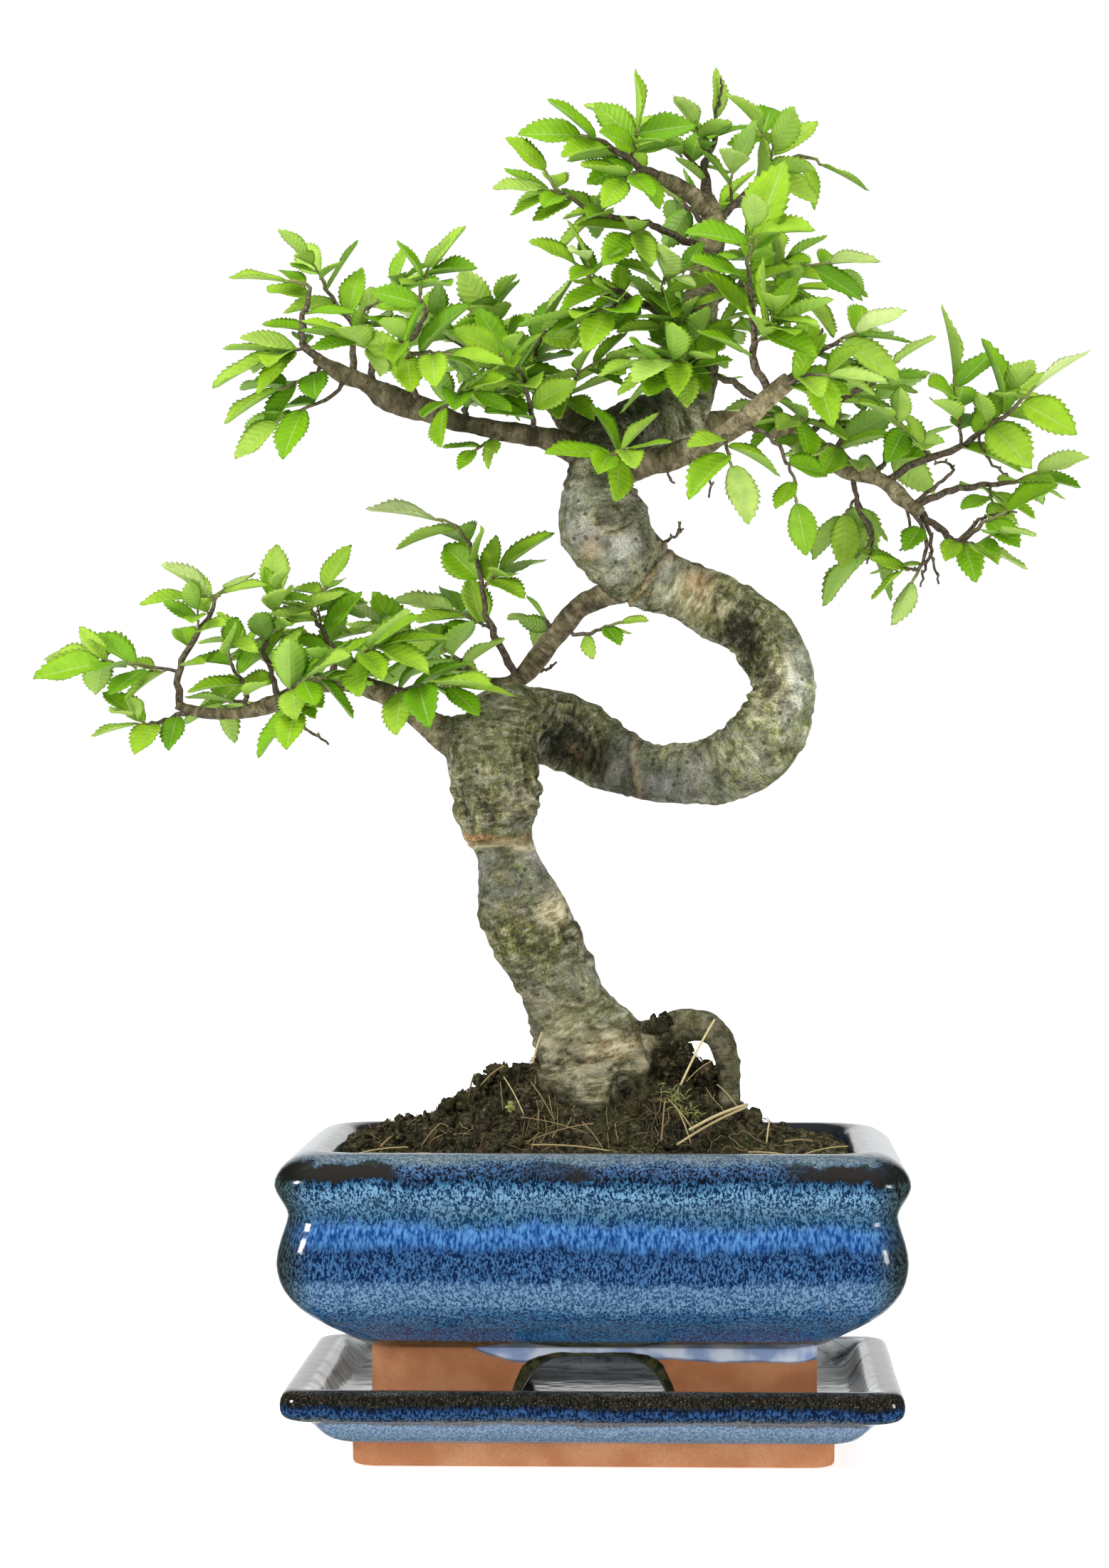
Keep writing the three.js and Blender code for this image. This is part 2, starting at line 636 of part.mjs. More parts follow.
function makeSoil(wood) {
  const wall = SOIL_WALL.map(([z, half]) => withSidePoints(
    roundedRing(z + GAP, half - GAP, POT_CORNER - 5), SOIL_SIDE_POINTS));
  const edge = wall[wall.length - 1];
  const surface = SOIL_RINGS.map((scale, k) => edge.map((p, j) => {
    const shake = k === 0 ? 0 : SOIL_CRUMB;
    const x = MOUND.x + (p.x - MOUND.x) * scale + shake * 2 * (draw(k, j, 1) - 0.5);
    const y = MOUND.y + (p.y - MOUND.y) * scale + shake * 2 * (draw(k, j, 2) - 0.5);
    return new THREE.Vector3(x, y, soilHeight(x, y) + shake * 2 * (draw(k, j, 3) - 0.5));
  }));
  return largestPiece(loft([...wall, ...surface]).subtract(wood).simplify(SMOOTHING));
}

// Tubes for the wood

// A tube along a smooth curve through the route, larger by grow all over.
function tube(route, sides, ringsPerStep, grow = 0) {
  const curve = smoothCurve(route);
  const steps = (route.length - 1) * ringsPerStep;
  const full = 2 / (1 + Math.cos(Math.PI / sides)); // corners stand out as far as facets cut in
  const centres = [];
  const radii = [];
  for (let i = 0; i <= steps; i += 1) {
    const at = i / ringsPerStep;
    const k = Math.min(Math.floor(at), route.length - 2);
    radii.push(THREE.MathUtils.lerp(route[k][3], route[k + 1][3], at - k) * full + grow * full);
    centres.push(curve.getPoint(i / steps));
  }
  const tangents = centres.map((centre, i) => new THREE.Vector3()
    .subVectors(centres[Math.min(i + 1, steps)], centres[Math.max(i - 1, 0)]).normalize());
  centres[0].addScaledVector(tangents[0], -grow);
  centres[steps].addScaledVector(tangents[steps], grow);
  let across = sideways(tangents[0]);
  return loft(centres.map((centre, i) => {
    across = across.clone().addScaledVector(tangents[i], -across.dot(tangents[i])).normalize();
    const up = new THREE.Vector3().crossVectors(tangents[i], across);
    return Array.from({ length: sides }, (unused, j) => {
      const angle = (2 * Math.PI * j) / sides;
      return centre.clone().addScaledVector(across, radii[i] * Math.cos(angle))
        .addScaledVector(up, radii[i] * Math.sin(angle));
    });
  }));
}

function sideways(direction) {
  const reference = Math.abs(direction.y) < 0.8
    ? new THREE.Vector3(0, 1, 0) : new THREE.Vector3(1, 0, 0);
  return reference.cross(direction).normalize();
}

function makeWood(grow = 0) {
  const wood = union([
    tube(TRUNK_BASE.route, TRUNK_BASE.sides, TRUNK_BASE.rings, grow),
    tube(TRUNK_LOOP.route, TRUNK_LOOP.sides, TRUNK_LOOP.rings, grow),
    ...Object.values(LIMBS).map((limb) => tube(limb.route, limb.sides, 1, grow)),
  ]);
  return wood.simplify(SMOOTHING);
}

// Leafy sprays

function smoothCurve(points) {
  return new THREE.CatmullRomCurve3(
    points.map(([x, y, z]) => new THREE.Vector3(x, y, z)), false, 'catmullrom', 0.5);
}

// A twig is straight between the points of its route, and so is a shoot.
function shootEnds(spray, [at, reached, , leafLength]) {
  const last = spray.twig.length - 1;
  const k = Math.min(Math.floor(at * last), last - 1);
  const [before, after] = [spray.twig[k], spray.twig[k + 1]].map((p) => new THREE.Vector3(...p));
  const start = before.lerp(after, at * last - k);
  const along = new THREE.Vector3(...reached).sub(start);
  const length = Math.max(along.length() - SHOOT.leafOverhang * leafLength, SHOOT.shortest);
  return [start, start.clone().addScaledVector(along.normalize(), length)];
}

function makeStems(spray) {
  const last = spray.twig.length - 1;
  const twig = spray.twig.map((p, i) => [...p, THREE.MathUtils.lerp(...spray.thick, i / last)]);
  const [leading, ...others] = spray.shoots;
  const shoots = others.map((shoot) => {
    const [start, end] = shootEnds(spray, shoot);
    return tube([[...start, SHOOT.radius], [...end, SHOOT.tip]], SHOOT.sides, 1);
  });
  const end = shootEnds(spray, leading)[1];
  return union([tube([...twig, [...end, SHOOT.tip]], TWIG_SIDES, 1), ...shoots]);
}

// The points from the start of a shoot's leafy stretch to its end. The leading shoot's stretch
// starts on the twig.
function leafyPath(spray, shoot) {
  const leading = shoot === spray.shoots[0];
  const twig = leading ? spray.twig.map((p) => new THREE.Vector3(...p)) : [];
  const [start, end] = shootEnds(spray, shoot);
  return leading ? [...twig, end] : [start, end];
}

// The point a given distance before the end of a path, and the direction there.
function beforeEnd(path, distance) {
  let left = distance;
  for (let i = path.length - 1; i > 0; i -= 1) {
    const step = new THREE.Vector3().subVectors(path[i], path[i - 1]);
    const length = step.length();
    if (left <= length || i === 1) {
      const along = step.normalize();
      return { root: path[i].clone().addScaledVector(along, -Math.min(left, length)), along };
    }
    left -= length;
  }
  return { root: path[0].clone(), along: new THREE.Vector3(0, 0, 1) };
}

function pathLength(path) {
  return path.slice(1).reduce((sum, point, i) => sum + point.distanceTo(path[i]), 0);
}

// The seats of a shoot's leaves: one leaf at its end, and the others on alternate sides below it.
function leafSeats(path, count, length, seed) {
  const end = path[path.length - 1];
  const outward = new THREE.Vector3(end.x - TREE_AXIS[0], end.y - TREE_AXIS[1], 0).normalize();
  const toLight = LEAF_FACING.light * (end.y < LEAF_FACING.backFrom ? -1 : 1);
  const step = Math.min(LEAF_STEP.most, (pathLength(path) - LEAF_STEP.bare) / count);
  const seats = [];
  for (let j = 0; j < count; j += 1) {
    const { root, along } = beforeEnd(path, LEAF_STEP.sunk + j * step);
    const facing = outward.clone().multiplyScalar(LEAF_FACING.outward);
    facing.x += LEAF_FACING.random * (draw(seed, j, 4) - 0.5);
    facing.y += LEAF_FACING.random * (draw(seed, j, 5) - 0.5) + toLight;
    facing.z += LEAF_FACING.random * (draw(seed, j, 6) - 0.5) + LEAF_FACING.up;
    facing.addScaledVector(along, -facing.dot(along)).normalize();
    const angle = j === 0
      ? LEAF_ANGLE.end : LEAF_ANGLE.side + LEAF_ANGLE.vary * (draw(seed, j, 7) - 0.5);
    const fullness = (LEAF_LENGTH.least + LEAF_LENGTH.vary * draw(seed, j, 8))
      * (1 - LEAF_LENGTH.lower * (j / count) ** 2);
    seats.push({
      grown: j === 0 || draw(seed, j, 9) < LEAF_SHARE,
      root,
      along,
      facing,
      angle: THREE.MathUtils.degToRad(angle) * (j % 2 ? -1 : 1),
      length: length * fullness,
    });
  }
  return seats;
}

// The directions of a leaf: along its rib, across it, and out of its upper face.
function leafAxes(seat, turn) {
  const facing = seat.facing.clone().applyAxisAngle(seat.along, THREE.MathUtils.degToRad(turn));
  const rib = seat.along.clone().applyAxisAngle(facing, seat.angle);
  rib.z -= LEAF_SAG;
  rib.normalize();
  const across = new THREE.Vector3().crossVectors(facing, rib).normalize();
  return { rib, across, face: new THREE.Vector3().crossVectors(rib, across) };
}

function makeLeaf(seat, turn, size) {
  const { rib, across, face } = leafAxes(seat, turn);
  const length = seat.length * size;
  const width = length * BLADE.slender;
  const outline = seat.length > BLADE.large ? LARGE_BLADE_EDGE : SMALL_BLADE_EDGE;
  const place = (t, side, rise) => seat.root.clone().addScaledVector(rib, length * t)
    .addScaledVector(across, width * side)
    .addScaledVector(face, rise - BLADE.droop * length * t * t);
  const edge = (side) => outline.map(([t, w]) => place(t, side * w, w * width * BLADE.fold));
  const half = BLADE.thick / 2;
  const points = [
    place(0, 0, half), place(0, 0, -half), place(BLADE.middle, 0, half), place(BLADE.middle, 0, -half),
    ...edge(1), place(1, 0, 0), ...edge(-1).toReversed(),
  ];
  const [rootTop, rootUnder, top, under, first] = [0, 1, 2, 3, 4];
  const last = points.length - 1;
  const index = [rootTop, rootUnder, first, rootUnder, rootTop, last];
  index.push(top, rootTop, first, top, last, rootTop, under, first, rootUnder, under, rootUnder, last);
  for (let i = first; i < last; i += 1) {
    index.push(top, i, i + 1, under, i + 1, i);
  }
  return closedBody(points, index);
}

// Boxes that are further apart than the reach can't touch.
function boxesNear(a, b, reach) {
  return [0, 1, 2].every((k) => a.min[k] < b.max[k] + reach && b.min[k] < a.max[k] + reach);
}

function isClear(solid, others) {
  const box = solid.boundingBox();
  return others.every((other) => !boxesNear(box, other.box, LEAF_CLEARANCE)
    || solid.minGap(other.solid, LEAF_CLEARANCE + 0.1) > LEAF_CLEARANCE);
}

const withBox = (solid) => ({ solid, box: solid.boundingBox() });

// A leaf takes the first turn and size at which it is clear of everything. If there is none, the
// crowd has no room for it.
function growLeaves(name, stems, obstacles) {
  const kept = [];
  SPRAYS[name].shoots.forEach((shoot, i) => {
    const seed = name.length + shoot[1][0] + shoot[1][2] + i;
    const seats = leafSeats(leafyPath(SPRAYS[name], shoot), shoot[2], shoot[3], seed);
    for (const seat of seats.filter(({ grown }) => grown)) {
      const tries = LEAF_SIZES.flatMap((size) => LEAF_TURNS.map((turn) => [turn, size]));
      for (const [turn, size] of tries) {
        const leaf = makeLeaf(seat, turn, size);
        if (isClear(leaf, obstacles) && isClear(leaf, kept) && leaf.intersect(stems).volume() > 0.1) {
          kept.push(withBox(leaf));
          break;
        }
      }
    }
  });
  return kept;
}

function growSprays(wood, pot, saucer, soil) {
  const grown = makeWood(GAP);
  const stems = Object.fromEntries(Object.keys(SPRAYS).map(
    (name) => [name, withBox(largestPiece(makeStems(SPRAYS[name]).subtract(grown)))]));
  const fixed = [wood, pot, saucer, soil].map(withBox);
  const leaves = [];
  const sprays = {};
  for (const name of Object.keys(SPRAYS)) {
    const otherStems = Object.keys(stems).filter((other) => other !== name).map((other) => stems[other]);
    const kept = growLeaves(name, stems[name].solid, [...fixed, ...otherStems, ...leaves]);
    leaves.push(...kept);
    const spray = union([stems[name].solid, ...kept.map((leaf) => leaf.solid)]);
    sprays[name] = largestPiece(spray.simplify(SMOOTHING));
  }
  return sprays;
}

// The assembled tree

function addPart(group, name, solid, colour, roughness) {
  const material = new THREE.MeshStandardMaterial({ color: colour, roughness, metalness: 0 });
  const mesh = new THREE.Mesh(toGeometry(solid), material);
  mesh.name = name;
  group.add(mesh);
}

function buildBonsai() {
  const bonsai = new THREE.Group();
  const pot = makePot();
  const saucer = makeSaucer();
  const wood = makeWood();
  const soil = makeSoil(makeWood(GAP));
  addPart(bonsai, 'saucer', saucer, COLOURS.saucer, 0.2);
  addPart(bonsai, 'pot', pot, COLOURS.glaze, 0.2);
  addPart(bonsai, 'soil', soil, COLOURS.soil, 1);
  addPart(bonsai, 'trunk', wood, COLOURS.bark, 0.85);
  for (const [name, solid] of Object.entries(growSprays(wood, pot, saucer, soil))) {
    addPart(bonsai, `spray_${name}`, solid, COLOURS.leaf, 0.45);
  }
  return bonsai;
}

export default buildBonsai();
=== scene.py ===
"""Chinese elm bonsai in a glazed pot on a saucer, dressed over its CAD frame.

Tables and shapes are in millimetres in the frame's axes: +Z up, the front of the tree facing -Y. A
mesh is scaled to metres as it is made. Numbers in the materials are metres and shares.
"""

import itertools
import math
from collections import namedtuple

import bmesh
import bpy
import numpy as np
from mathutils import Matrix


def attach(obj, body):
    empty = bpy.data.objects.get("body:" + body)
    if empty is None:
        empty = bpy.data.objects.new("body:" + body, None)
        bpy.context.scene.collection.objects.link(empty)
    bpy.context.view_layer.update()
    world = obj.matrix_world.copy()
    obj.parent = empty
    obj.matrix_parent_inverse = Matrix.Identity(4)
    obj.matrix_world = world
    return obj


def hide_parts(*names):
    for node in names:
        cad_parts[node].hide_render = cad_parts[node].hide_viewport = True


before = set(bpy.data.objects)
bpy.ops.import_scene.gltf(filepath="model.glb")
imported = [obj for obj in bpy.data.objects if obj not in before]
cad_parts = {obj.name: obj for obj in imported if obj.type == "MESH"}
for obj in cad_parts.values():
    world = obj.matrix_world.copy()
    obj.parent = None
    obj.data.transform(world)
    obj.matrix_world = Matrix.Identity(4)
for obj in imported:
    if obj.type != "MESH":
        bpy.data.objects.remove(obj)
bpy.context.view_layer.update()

MM = 0.001
BODY = "root"
VECTORS = ("leaf", "grain")  # the point values that have three parts

# Tables of the pot, its saucer and the soil

INSET = 25  # the half depth of the pot and the saucer is their half width less this
GAP = 0.35  # what parts the foot from the saucer's floor
SHARP = 48  # degrees, from which an edge of the ware shows as one
SAUCER_CORNER = 7
POT_CORNER = 14
SAUCER_FLOOR = 18
# Half widths up a body's outside and down its inside: height, half width
SAUCER_PROFILE = [
    (0, 76.4), (0.4, 77.3), (1.4, 77.8), (4.5, 77.8), (7.4, 77.9), (7.9, 79), (8.3, 81.8), (9.4, 84.6),
    (11.4, 87), (13.6, 89), (15.4, 90.8), (16.2, 93), (16.6, 95.2), (17, 96.8), (17.8, 98.2),
    (19, 99.1), (20.4, 99.5), (22.2, 99.6), (24, 99.3), (25.4, 98.6), (26.3, 97.5), (26.8, 96),
    (26.75, 93.5), (26.4, 91), (25.6, 89.4), (24, 88.1), (22, 87), (20, 85.6), (18.7, 84.4),
    (18.15, 83.2), (18, 81.5), (18, 60),
]
POT_OUTER = [
    (37.4, 60), (37.4, 70.5), (37.6, 72.6), (38.5, 75.4), (40.4, 78.6), (42.6, 82.2), (44.8, 85.8),
    (48, 90.4), (51, 93.9), (54.2, 96.7), (57.5, 98.9), (60.7, 100.3), (64, 101.1), (67, 101.3),
    (70.3, 100.9), (73.6, 100.1), (76.7, 99.1), (79.4, 98.2), (81.6, 97.8), (83.4, 98.2), (85.2, 99.1),
    (87.2, 100.2), (89.4, 101.3), (91.4, 101.8), (93.2, 101.6), (95, 100.9), (96.8, 99.8),
    (98.4, 98.2), (99.8, 96.2), (100.9, 94.2), (101.6, 92), (101.9, 90), (101.8, 88.2), (101.2, 86.4),
    (100, 84.8), (98.2, 84.1), (95, 84), (80, 84), (62, 84), (55, 79.5), (51, 76), (47.5, 70.5),
    (46, 65), (46, 50),
]
FOOT = {"top": 41, "outer": 72.4, "wall": 7, "round": 2.2, "corner": 12, "inner_corner": 7}
# The lower edge of the foot and the end of the dark glaze in its arch: distance from the middle, rise
ARCH_FRONT = [
    (0, 16.4), (9.5, 16.3), (13.5, 15.4), (17.3, 13.4), (20.4, 10.6), (23.2, 5.6), (25.4, 2),
    (27.4, 0.3), (29, 0),
]
ARCH_GLAZE = [
    (0, 17.7), (10, 17.6), (14, 17.3), (17.7, 16.8), (20.5, 15.4), (22.8, 13.5), (24.8, 9.5),
    (26.4, 5.3), (28, 2), (29.5, 0),
]
ARCH_SIDE = [
    (0, 13), (6, 12.9), (9, 12.2), (12, 10.4), (14.6, 7.4), (17, 3.6), (19.2, 0.8), (21.5, 0),
]
DRAIN = {"x": 35, "radius": 6, "sides": 40}

MOUND = {"x": 1, "y": 0, "base": 95.5, "rise": 40, "left": 56, "right": 46, "front": 22,
         "back": 27, "power": 1.6}
ROOT_MOUND = {"x": 30, "y": -6, "rise": 11, "spread": 13}
SOIL_WALL = [
    (46.35, 65.65), (51.35, 75.65), (62.35, 83.65), (94.35, 83.65),
]
SOIL_RINGS = 86

CRUMBS = 1000
FIBRES = 820
SPRIGS = 60
# Heaps of clods: centre, half sizes, count
CLODS = [
    ((23, -12, 127), (3.6, 3.5, 9), 90), ((28, -11, 128), (4, 4, 6.5), 70),
    ((34, -10, 120), (6, 5, 6.5), 90), ((20, -13, 139), (3.5, 2.5, 2.5), 24),
    ((-31, -6, 120), (7, 6, 7), 44), ((-40, -4, 114), (7, 6, 5), 30), ((-36, -8, 119), (5, 5, 4), 20),
    ((-48, -6, 111), (6, 6, 4), 26), ((-57, -6, 107), (6, 6, 3), 22),
]
SEEDLING = (-26.7, -30, 113.6)
SEEDLING_LEAVES = 7
# Straws: start, end, radius, paleness
STRAWS = [
    ((30, -22, 122), (38.5, -16, 128.5), 0.18, 0.7), ((40, -22, 121), (47.5, -24, 112.5), 0.2, 0.75),
    ((24, -33, 117), (33, -38, 106), 0.22, 0.75), ((27, -33, 114), (31.5, -39, 103), 0.24, 0.8),
    ((-21, -27, 122), (-13, -34, 110), 0.17, 0.6), ((-31, -26, 122), (-30, -30, 113), 0.15, 0.55),
    ((-24, -33, 111), (-2, -38, 106), 0.18, 0.6), ((-22, -40, 103.5), (0, -44, 110), 0.2, 0.6),
    ((-4, -38, 110), (3, -46, 102), 0.18, 0.6), ((-42, -18, 116), (-40, -16, 124), 0.26, 0.4),
    ((-56, -40, 102), (-50, -34, 109), 0.2, 0.6), ((66, -52, 100), (82, -48, 103), 0.25, 0.8),
    ((-80, -46, 99), (-60, -44, 102), 0.25, 0.8), ((28, -26, 121), (39.2, -16, 142), 0.36, 0.95),
    ((31, -40, 107.5), (50, -22, 114.5), 0.5, 0.92), ((27, -44, 103), (49, -24, 113.5), 0.42, 0.85),
    ((-17.5, -21, 138), (-20.5, -25, 128), 0.32, 0.85),
    ((-30, -24, 123.5), (-23, -34, 112), 0.2, 0.85), ((-38, -16, 120), (-30, -22, 127), 0.25, 0.7),
    ((-62, -50, 100), (-44, -52, 99.5), 0.3, 0.85), ((-38, -53, 99), (-14, -51, 100), 0.34, 0.8),
    ((-20, -46, 103), (8, -50, 101), 0.3, 0.75), ((2, -54, 99), (20, -53, 99), 0.3, 0.8),
    ((22, -45, 104), (23, -42, 117), 0.2, 0.7), ((50, -48, 101), (68, -52, 99), 0.32, 0.8),
    ((56, -38, 103), (57, -34, 110), 0.25, 0.9), ((62, -30, 103), (74, -12, 101), 0.36, 0.7),
    ((-70, -30, 101), (-66, -8, 103), 0.34, 0.7), ((-58, 20, 108), (-36, 34, 106), 0.34, 0.8),
    ((20, 40, 103), (46, 44, 100), 0.36, 0.9),
]

# Tables of the wood. Each route's points: x, y, z, radius

TRUNK_BASE = [
    (3, 0, 88, 20), (2, 0, 100, 20), (1, 0, 111, 19.4), (-0.5, -1, 122, 20), (-2, -2, 131, 19.5),
    (-7.6, -2, 141, 15.4), (-14, -2, 156, 12.6), (-20.3, -3, 168, 14.4), (-26.4, -4, 182, 13.4),
    (-29.9, -5, 197, 9.8), (-33, -6, 208, 13.4), (-33.3, -8, 220, 14.8), (-34.4, -9, 230, 14.2),
    (-33, -8, 240, 13.6),
]
TRUNK_LOOP = [
    (-33, -9, 229, 10.5), (-31, -6, 240, 12.6), (-23, 1, 241, 11.2), (-15, 8, 238.4, 13.1),
    (-6, 12, 234, 12.2), (5, 9, 228, 10.8), (16, 6, 224, 9.4), (27, 3, 223, 9.5), (38, 0, 224, 10.7),
    (50, -3, 228.6, 12), (58.6, -4, 238.4, 12), (62, -3, 250, 10.7), (59.2, -1, 261.5, 11),
    (52.6, 2, 271, 10.6), (42, 4, 277.6, 10.8), (29, 4, 284.6, 10), (18, 2, 288.6, 11.6),
    (7.4, -2, 297, 13.6), (2.6, -4, 306, 15.4), (0.8, -4, 316, 12.2), (1, -2, 325, 9.6),
    (2, 1, 332, 10),
]
LIMBS = [
    [(2, 0, 327, 9), (6, 5, 335, 10), (16, 11, 339, 10.4), (26, 15, 343, 9.6), (31, 15, 353, 8.4),
     (33, 12, 366, 6.9), (35, 8, 382, 5.7), (38, 4, 398, 4.5), (39, 2, 408, 3.8), (36, 0, 415, 3.2)],
    [(12, -4, 127, 8), (18, -6, 134, 7.2), (25, -8, 137.6, 6.4), (32, -9, 139.6, 5.6),
     (38.6, -10, 138.2, 5.2), (42.6, -10, 131.5, 4.4), (43.7, -10, 122, 3.7), (43.7, -10, 112, 3.5),
     (43.2, -10, 98, 4)],
    [(-38, -8, 232, 10), (-44, -8, 234, 8), (-50, -9, 236, 5.8), (-56.5, -10, 240.2, 4.5),
     (-65, -11, 247, 3.8), (-78, -11, 252.5, 3.3), (-91, -9, 253, 3.1), (-104, -8, 247.5, 2.9),
     (-118, -6, 243.5, 2.4), (-131, -6, 243, 2), (-140, -6, 246, 1.5)],
    [(12, 5, 286, 5), (2, 10, 283, 4.2), (-6, 13, 279, 3.7), (-15, 18, 269, 3.4), (-24, 22, 258, 3.2),
     (-30, 24, 254, 2.6), (-37, 27, 254, 1.9)],
    [(3, -2, 329, 6.8), (-9, -5, 332, 5), (-21, -8, 335, 3.6), (-43, -12, 338.5, 3.1),
     (-55, -14, 343, 3.6), (-69, -14, 347.5, 4.4), (-76, -14, 352, 3.3), (-85, -13, 356, 2.8),
     (-93, -12, 361, 2.1)],
    [(5, -3, 325, 6.4), (15, -10, 325, 4.6), (25, -16, 327.5, 4), (40, -22, 333, 3.8),
     (49, -26, 339, 3.6), (57, -28, 346, 3.2), (64, -28, 352, 2.8)],
    [(7, 6, 331, 6.8), (23, 16, 335, 5.6), (39, 24, 341, 4.7), (53, 30, 344, 4.2), (65, 31, 339, 3.8),
     (75, 30, 331, 3.3), (85, 28, 326, 3.1), (95, 26, 323, 2.9), (102, 24, 317, 2.6),
     (109, 22, 311, 2.1)],
    [(2, 4, 331, 7.2), (-7, 12, 340, 5.8), (-14, 18, 349, 4.6), (-23, 23, 357, 3.4),
     (-34, 27, 364, 2.4)],
    [(38, 1, 411, 3.2), (28, -4, 418, 2.9), (20, -8, 421, 2.5)],
]
VOXEL = 0.9  # the mesh size that the wood is grown together at
EVENING = 14  # rounds of evening out its steps
# Rings and scars on the bark: the centre, the direction that the ring lies across, how far it
# reaches, the half width of its ridge, the ridge's height and the depth of its groove, and how much
# of it is scar, tan and painted shade in its groove
RINGS = [
    ((-31, -6, 200.4), (0.06, 0, 1), 18, 1.1, 0.45, 0.7, 1, 0, 0.6),
    ((-31, -6, 198.2), (0.06, 0, 1), 18, 0.9, 0.6, 0.2, 0.2, 0.8, 0.2),
    ((12, 5, 227), (1, 0, 0.05), 15, 1.1, 0.25, 0.6, 0.3, 0.15, 1),
    ((19.5, 0, 290.2), (0.79, 0, -0.61), 17, 0.8, 0.7, 1.1, 0.4, 0, 1),
    ((-14, -4, 147), (0.2, 0, 1), 17, 0.8, 0.3, 0.5, 0, 0.3, 0.4),
    ((-24, -4, 176), (0.36, 0, 1), 17, 0.7, 0.4, 0.6, 0, 0.2, 0.5),
    ((34, 2, 223), (1, 0, 0.05), 13, 0.8, 0.3, 0.35, 0.1, 0, 0.3),
    ((47, 0, 227), (1, 0, -0.35), 15, 0.8, 0.3, 0.4, 0, 0, 0.3),
    ((60, -3, 246), (0.25, 0, 1), 15, 0.8, 0.4, 0.5, 0, 0, 0.3),
    ((2, -4, 318), (0.1, 0, 1), 16, 0.8, 0.5, 0.6, 0.1, 0, 0.5),
    ((22, 13, 341), (1, 0.4, 0.3), 13, 0.8, 0.4, 0.5, 0, 0, 0.4),
    ((-47, -8, 235), (1, 0, 0.3), 10, 0.8, 0.4, 0.4, 0, 0, 0.3),
]
# Round knots and patches: centre, radius, rise, and how much of it is scar, tan and painted shade
# round its edge
KNOTS = [
    ((8, -19, 133), (13, 4.5), 0.5, 0.1, 0.4, 0.3), ((-7.6, -6, 228.6), (3.2, 3.4), 2.2, 1, 0, 0),
    ((34, -8, 287.5), (4.6, 4.2), 0.3, 0.75, 0.2, 0), ((-15, -16, 177.5), (3.4, 3.2), 0.7, 0, 1, 0),
    ((-4.5, -12, 169), (2.6, 2.4), 1.8, 0.1, 0.6, 0), ((22.5, -8, 299.4), (2, 2), 2, 0.5, 0, 0),
    ((-1, -16, 297), (4.2, 4), 0.4, 0.25, 0.35, 0.55), ((-26, -20, 214), (4, 4), 0.5, 0, 0.25, 0),
    ((-31, -19, 189), (4, 3), 0.4, 0, 0.3, 0), ((11, -20, 119), (3.4, 4.4), -1.6, 0, 0, 0),
    ((-1.6, -4, 163), (2, 4.5), 1.9, 0, 0, 0.5), ((-7, -10, 171), (3.4, 2.4), 1.2, 0, 0, 0.7),
    ((-36.5, -6, 177), (2.4, 2.2), 1.2, 0, 0, 0.5), ((17, -17, 127), (4.5, 3.5), 1.6, 0.15, 0.3, 0.5),
    ((48, -6, 128), (1.6, 1.6), 0.9, 0, 0, 0.4),
]
# Hollows with curled lips round them: centre, half width and height, lean, depth, the lips' height,
# and how much painted shade darkens it inside and in the folds of its lips
HOLLOWS = [
    ((-11.5, -5, 230.5), (7.4, 10), -10, 5.6, 0.95, 0.9),
    ((49, -9, 266.5), (5.2, 13), 24, 3.4, 0.8, 0.65),
    ((4.8, -18, 307), (3.2, 2.6), -20, 0.8, 0.6, 0.4), ((9.6, -21, 117.5), (3.2, 4.2), 0, 2.2, 1, 0.8),
    ((-27, -17, 231), (5, 3.4), 15, 0.5, 0.35, 0.1),
]
# Kinds of bark: the centre and reach in X and Z, how silver, rough and tan it is there, and how pale
# or dark it is painted: partly the bark's own tone, partly painted light and shade
AREAS = [
    ((-33, 188), (17, 9.5), 0.8, 0.1, 0, -0.4), ((-36, 213), (18, 11), 0, 1, 0, 0),
    ((-32, 238), (14, 8), 0.1, 0.3, 0, 0), ((-23, 170), (17, 10), 0, 1, 0, 0),
    ((-13, 153), (15, 10), 0.3, 0.5, 0.05, -0.15), ((-6, 133), (17, 9), 0.2, 0.15, 0.3, -0.25),
    ((28, 221), (19, 9), 1, 0, 0, -0.4), ((8, 226), (11, 12), 0.6, 0.1, 0, -0.65),
    ((51, 229), (12, 11), 0.45, 0.4, 0, 0.3), ((64, 252), (12, 17), 1, 0.1, 0, 0.75),
    ((0, 308), (17, 13), 0.85, 0.05, 0, 0), ((10, 294), (9, 8), 0.75, 0, 0, 0.1),
    ((23, 288), (4, 7), 1, 0, 0.1, 0.3), ((36, 283), (10, 9), 0.1, 0.2, 0.85, 0.55),
    ((52, 265), (9, 13), 0, 0.7, 0, 0.2), ((8, 341), (17, 17), 0.2, 0.2, 0, -0.7),
    ((-45, 343), (38, 13), 0, 0, 0, -0.5), ((47, 338), (19, 14), 0, 0, 0, 0.75),
    ((84, 328), (22, 22), 0, 0, 0, 0.9), ((38, 396), (18, 26), 0, 0, 0, 0.75),
    ((-2, 243), (10, 8), 0, 0.6, 0, 0), ((-14, 179), (5, 7), 0.4, 0, 0.7, 0.5),
    ((-22, 194), (6, 6), 1, 0, 0, 0.2), ((-4, 155), (6, 5), 0.8, 0, 0, 0.25),
]

# Tables of the leafy sprays and bare twigs

